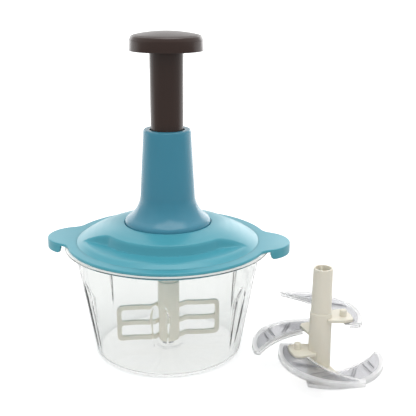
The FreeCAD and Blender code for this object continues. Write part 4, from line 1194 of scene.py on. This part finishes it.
# ------------------------ blade unit
@dataclass
class BladeUnit:
    """Hub with four arms, a crescent blade on each, and a clear guard over each blade."""

    at: Spot = (119.95, -55.42)
    levels: tuple[float, float, float, float] = (4.7, 18.0, 30.7, 46.6)
    thick: float = 0.8
    back: Spot = (-15.0, 7.0)
    back_r: float = 45.3
    belly: Spot = (-57.52, -14.39)
    belly_r: float = 74.5
    tip: Spot = (-17.07, 50.95)
    tip_r: float = 3.0
    root: float = -11.6
    ground: float = 2.4
    peg: Spot = (17.5, -0.6)
    stake: Spot = (19.0, 8.0)
    edge_high: float = 0.48
    guard_half: float = 1.9
    guard_grow: float = 1.9
    guard_rim: float = 1.3
    guard_tip: float = 4.9
    opening: float = -0.4
    pane: float = -0.45
    seam_inside: float = -1.65
    seam_top: float = 1.95
    rib_top: float = 2.0
    slot_half: float = 0.7
    window: Spot = (0.75, 1.7)
    notch: tuple[Spot, ...] = ((-0.3, 9.5), (17.1, 13.6), (22.0, 12.1), (25.1, 1.7), (25.1, -7.9),
                               (-34.9, -67.9), (-60.3, -50.5))
    ribs: tuple[tuple[Spot, Spot], ...] = (((44, 82), (42, 97)), ((32, 39), (28, 73)),
                                           ((36, 89), (42, 70)), ((30, 76), (32, 46)))
    rib_half: float = 0.35

    def crescent(self, grow: float = 0.0, rim: float = 0.0, tip_grow: float = 0.0) -> list[Spot]:
        """Outline of a blade, or of what goes round it.

        Args:
            grow: how far it stands off the blade's sides.
            rim: how much further it stands off the convex side.
            tip_grow: how far it stands off the tip.

        Returns:
            The outline, from the root along the convex side to the tip and back.
        """
        out_r, in_r = self.back_r + grow + rim, self.belly_r - grow
        tip_r, low = self.tip_r + tip_grow, self.root - grow
        start = math.degrees(math.asin((low - self.back[1]) / out_r))
        over = crossing(self.back, out_r, self.tip, tip_r)
        under = crossing(self.belly, in_r, self.tip, tip_r)
        end = math.degrees(math.asin((low - self.belly[1]) / in_r))
        outer = arc(self.back, out_r, start, azimuth(self.back, over), 40)
        first, last = azimuth(self.tip, over), azimuth(self.tip, under)
        tip = arc(self.tip, tip_r, first, last + (360 if last < first else 0), 10)
        inner = arc(self.belly, in_r, azimuth(self.belly, under), end, 30)
        return outer + tip[1:-1] + inner

    def placed(self, piece: Piece, index: int) -> Piece:
        """Turns a piece of a blade's arm to its side of the hub and lifts it to its level."""
        Bench.place(piece, (*self.at, self.levels[index]), 270 - 90 * index)
        return piece

    def blade(self) -> Piece:
        """One blade, its convex side ground to an edge."""
        half = self.thick / 2
        blade = Bench.slab("blade", self.crescent(), -half, half - self.edge_high)
        Bench.edit(everything=False)
        bpy.ops.object.mode_set(mode="OBJECT")
        for face in blade.data.polygons:
            face.select = face.normal.z > 0.9
        bpy.ops.object.mode_set(mode="EDIT")
        bpy.ops.mesh.extrude_region_move(TRANSFORM_OT_translate={"value": (0, 0, self.edge_high * MM)})
        bpy.ops.object.mode_set(mode="OBJECT")

        def grind(point: Vector) -> Vector:
            """Draws the upper edge in along the convex side.

            Args:
                point: a point of the blade with upright sides.

            Returns:
                Where it goes.
            """
            off = Vector((point.x - self.back[0], point.y - self.back[1]))
            if point.z < half - 0.1 or off.length < self.back_r - 0.1:
                return point
            off *= (self.back_r - self.ground) / off.length
            return Vector((self.back[0] + off.x, self.back[1] + off.y, point.z))

        Bench.press(blade, grind)
        for spot in (self.peg, self.stake):
            Bench.carve(blade, self.pin("hole", spot, 1.8, -2, 2))
        Bench.shade(blade, 6)
        return blade

    def pin(self, name: str, spot: Spot, r: float, low: float, high: float, soft: float = 0.0,
            soft_low: float = 0.0) -> Piece:
        """A round pin.

        Args:
            name: its name.
            spot: where it stands.
            r: its radius.
            low: height of its foot.
            high: height of its top.
            soft: rounding of its top edge.
            soft_low: rounding of its foot's edge.

        Returns:
            The pin.
        """
        corners = [(0, low, 0), (r, low, soft_low), (r, high, soft), (0, high, 0)]
        pin = Bench.lathe(name, soften(corners, closed=False), steps=32, closed=False)
        Bench.place(pin, (*spot, 0))
        return pin

    def arm(self) -> Piece:
        """One arm with its peg, and the heads of the stakes that hold the blade."""
        outline = [(4.0, -8.9, 0), (17.0, -10.0, 2.4), (24.5, -7.5, 2.4), (24.5, 1.5, 2.4),
                   (21.5, 11.5, 2.4), (17.0, 13.0, 2.4), (4.0, 8.9, 0)]
        top = self.thick / 2 + 2.5
        arm = Bench.slab("arm", soften(outline), self.thick / 2, top)
        Bench.round_edges(arm, 0.45, 3, 60)
        peg = self.pin("peg", self.peg, 2.8, top - 0.5, top + 5.1, 0.7)
        heads = []
        for spot in (self.peg, self.stake):
            heads.append(self.pin("stake", spot, 1.78, -0.6, top - 0.5))
            heads.append(self.pin("head", spot, 3.0, -0.9, -0.4, 0.05, 0.35))
        Bench.join(arm, peg, *heads)
        return arm

    def hub(self) -> Piece:
        """The hub: hollow shaft with its four arms."""
        corners = [(3.06, 2.6, 0.2), (5.9, 2.6, 0), (5.9, 0.0, 0.3), (9.15, 0.0, 0.6), (8.6, 53.0, 0.5),
                   (8.0, 53.0, 0.3), (7.5, 89.8, 0.6), (6.0, 89.8, 0.3), (6.0, 71.8, 0), (3.06, 71.8, 0)]
        hub = Bench.lathe("beige_hub", soften(corners), steps=96)
        Bench.slots(hub, 71.9)
        Bench.place(hub, (*self.at, 0))
        arm = self.arm()
        arms = [self.placed(Bench.twin(arm, f"arm_{k + 1}"), k) for k in range(4)]
        bpy.data.objects.remove(arm, do_unlink=True)
        Bench.join(hub, *arms)
        return hub

    def guard(self) -> Piece:
        """One guard: milky border and two clear windows, of which the upper has a seam and ribs."""
        half, (inner, outer), through = self.guard_half, self.window, (-5, 5)
        outline = self.crescent(self.guard_grow, self.guard_rim, self.guard_tip)
        border = Bench.slab("guard", outline, -half, half)
        Bench.round_edges(border, 0.5, 3, 60)
        bay = arc(self.back, self.back_r + self.guard_grow, 0, 360, 96)[:-1]
        Bench.carve(border, Bench.slab("slot", bay, -self.slot_half, self.slot_half))
        Bench.carve(border, Bench.slab("opening", self.crescent(self.opening), *through))
        pane_line, mark = self.crescent(self.pane), outer + 0.02
        panes = [Bench.slab("pane", pane_line, *ends) for ends in ((inner, outer), (-outer, -inner))]
        ribs = []
        for start, end in self.ribs:
            a, b = Vector(polar(*start)), Vector(polar(*end))
            side = Vector((-(b - a).y, (b - a).x)).normalized() * self.rib_half
            corners = [tuple(corner) for corner in (a - side, b - side, b + side, a + side)]
            ribs.append(Bench.slab("rib", corners, mark, self.rib_top))
            # Ribs in dark grey: painted shade.
            coat(ribs[-1], RIB_SHADE)
        # The seam round the window is also coated dark grey below: painted shade for the window's dark
        # outline.
        seam = Bench.slab("seam", pane_line, mark, self.seam_top)
        Bench.carve(seam, Bench.slab("inside", self.crescent(self.seam_inside), 1, 3))
        for piece, finish in ((border, BORDER), (panes[0], WINDOW), (panes[1], WINDOW), (seam, RIB_SHADE)):
            Bench.carve(piece, Bench.slab("notch", self.notch, *through))
            coat(piece, finish)
        Bench.join(border, seam, *panes, *ribs)
        Bench.shade(border, 30)
        return border

    def build(self) -> None:
        """Builds the hub, the blades and the guards."""
        finish_piece(self.hub(), BEIGE, "blade_unit", "beige_plastic", "blade_hub")
        for first, label, finish, slot in ((self.blade(), "steel_blade", BLADE_STEEL, "steel"),
                                           (self.guard(), "blade_guard", BORDER, "guard_plastic")):
            guard = label == "blade_guard"
            for k in range(4):
                copy = self.placed(Bench.twin(first, f"{label}_{k + 1}"), k)
                body = f"guard_{k + 1}_body" if guard else "blade_unit"
                finish_piece(copy, finish, body, slot, f"guard_{k + 1}" if guard else f"blade_{k + 1}")
            bpy.data.objects.remove(first, do_unlink=True)


# ------------------------ studio
@dataclass
class Studio:
    """White floor, soft lamps and the camera."""

    stand: Corner = (0.0, -616.9, 304.3)
    yaw: float = 3.075
    dip: float = 16.386
    roll: float = 0.338
    lens: float = 67.5

    def hang(self, data: bpy.types.ID) -> Piece:
        """Puts a camera or a lamp into the scene under the name of its data."""
        item = bpy.data.objects.new(data.name, data)
        bpy.context.collection.objects.link(item)
        return item

    def camera(self) -> None:
        """Sets up the camera."""
        yaw, dip, roll = (math.radians(v) for v in (self.yaw, self.dip, self.roll))
        ahead = Vector((math.sin(yaw) * math.cos(dip), math.cos(yaw) * math.cos(dip), -math.sin(dip)))
        level = Vector((math.cos(yaw), -math.sin(yaw), 0))
        above = level.cross(ahead)
        right = math.cos(roll) * level + math.sin(roll) * above
        upward = -math.sin(roll) * level + math.cos(roll) * above
        data = bpy.data.cameras.new("camera")
        data.lens, data.sensor_width = self.lens, 36.0
        data.clip_start, data.clip_end = 0.01, 100.0
        camera = self.hang(data)
        turn = Matrix((right, upward, -ahead)).transposed()
        camera.matrix_world = Matrix.Translation(Vector(self.stand) * MM) @ turn.to_4x4()
        bpy.context.scene.camera = camera

    def lamp(self, name: str, at: Corner, aim: Corner, size: Spot, power: float) -> Piece:
        """Hangs a soft lamp.

        Args:
            name: its name.
            at: its place in metres.
            aim: the point that it looks at.
            size: its width and height in metres.
            power: in watts.

        Returns:
            The lamp.
        """
        data = bpy.data.lights.new(name, "AREA")
        data.shape, data.size, data.size_y, data.energy = "RECTANGLE", *size, power
        lamp = self.hang(data)
        lamp.location = at
        lamp.rotation_euler = (Vector(aim) - Vector(at)).to_track_quat("-Z", "Y").to_euler()
        return lamp

    def world(self, level: float, front: float, back: float, above: float) -> None:
        """Sets up the light from all round.

        Args:
            level: strength of the light that falls on the object.
            front: strength that glossy surfaces show from the front.
            back: strength that they show from behind.
            above: how many times stronger it is overhead.
        """
        world = bpy.data.worlds.new("studio")
        bpy.context.scene.world = world
        world.use_nodes = True
        graph = Graph(world.node_tree)
        rays = graph.nodes.new("ShaderNodeLightPath").outputs
        direction = graph.nodes.new("ShaderNodeSeparateXYZ")
        graph.link(graph.nodes.new("ShaderNodeTexCoord").outputs["Generated"], direction.inputs[0])
        shine = graph.maths("MULTIPLY", graph.span(direction.outputs["Y"], -0.7, 0.5, front, back),
                            graph.span(direction.outputs["Z"], 0.45, 0.9, 1.0, above))
        light = graph.span(rays["Is Glossy Ray"], 0, 1, level, shine)
        seen = graph.maths("MAXIMUM", rays["Is Camera Ray"], rays["Is Transmission Ray"])
        background = graph.nodes["Background"].inputs
        graph.link(graph.maths("MAXIMUM", light, seen), background["Strength"])
        background["Color"].default_value = (1, 1, 1, 1)

    def floor(self) -> None:
        """White floor that keeps the object's shadow, with a painted shadow under the bowl that shows
        through the bowl.
        """
        Bench.clear()
        bpy.ops.mesh.primitive_plane_add(size=60, location=(0, 0, 0))
        floor = bpy.context.active_object
        floor.name = "floor"
        Bench.edit()
        bpy.ops.mesh.subdivide(number_cuts=3)
        Bench.clear()
        card = Recipe("floor_card")
        greys = [(grey, grey, grey, 1) for grey in (0.56, 0.58)]
        card.give("Base Color", card.blend(card.noise(8, 3), *greys))
        card.give("Roughness", 0.6)
        card.give("Specular IOR Level", 0.2)
        place = card.nodes.new("ShaderNodeSeparateXYZ")
        length = card.nodes.new("ShaderNodeVectorMath")
        length.operation = "LENGTH"
        for node in (place, length):
            card.link(card.place, node.inputs[0])
        far = length.outputs["Value"]
        rays = card.nodes.new("ShaderNodeLightPath").outputs
        shine = card.span(place.outputs["Y"], -0.2, 0.8, 0.02, 1.1)
        plain = card.span(rays["Is Glossy Ray"], 0, 1, 0.2, shine)
        # Painted shadow under the bowl: the floor seen through it is darker, 0.55 at the axis, 0.63 at 6 cm
        # and 0.7 past 7 cm.
        painted_bowl_shadow = card.span(far, 0.058, 0.07, card.span(far, 0, 0.06, 0.55, 0.63), 0.7)
        through = card.span(far, 0.3, 1.2, painted_bowl_shadow, 1.0)
        behind = card.span(rays["Is Transmission Ray"], 0, 1, plain, through)
        open_floor = card.span(far, 0.3, 1.2, 0.7, 1.0)
        card.give("Emission Strength", card.span(rays["Is Camera Ray"], 0, 1, behind, open_floor))
        card.give("Emission Color", (1, 1, 1, 1))
        floor.data.materials.append(card.material)

    def build(self) -> None:
        """Builds the studio."""
        self.camera()
        self.world(level=0.57, front=0.5, back=1.05, above=1.6)
        self.floor()
        self.lamp("top", (0.1, -0.1, 1.3), (0, 0, 0.1), (0.9, 0.9), 5.7)
        for name, side, power in (("left", -1, 1.4), ("right", 1, 2.4)):
            lamp = self.lamp(name, (side * 0.9, -0.5, 0.7), (0, 0, 0.12), (0.6, 0.8), 1.9)
            lamp.visible_glossy = False
            edge = self.lamp(f"{name}_edge", (side * 0.6, 1.1, 0.38), (0, 0, 0.12), (0.7, 0.6), power)
            edge.visible_camera = edge.visible_transmission = False
        bpy.context.scene.view_settings.view_transform = "Standard"


def main() -> None:
    """Builds every sub-assembly in order."""
    logging.basicConfig(level=logging.INFO, format="%(name)s %(message)s")
    for part in (Bowl(), Lid(), Tower(), Plunger(), Drive(), Whisk(), BladeUnit(), Studio()):
        part.build()
        log.info("%s done", type(part).__name__)


if __name__ == "__main__":
    main()
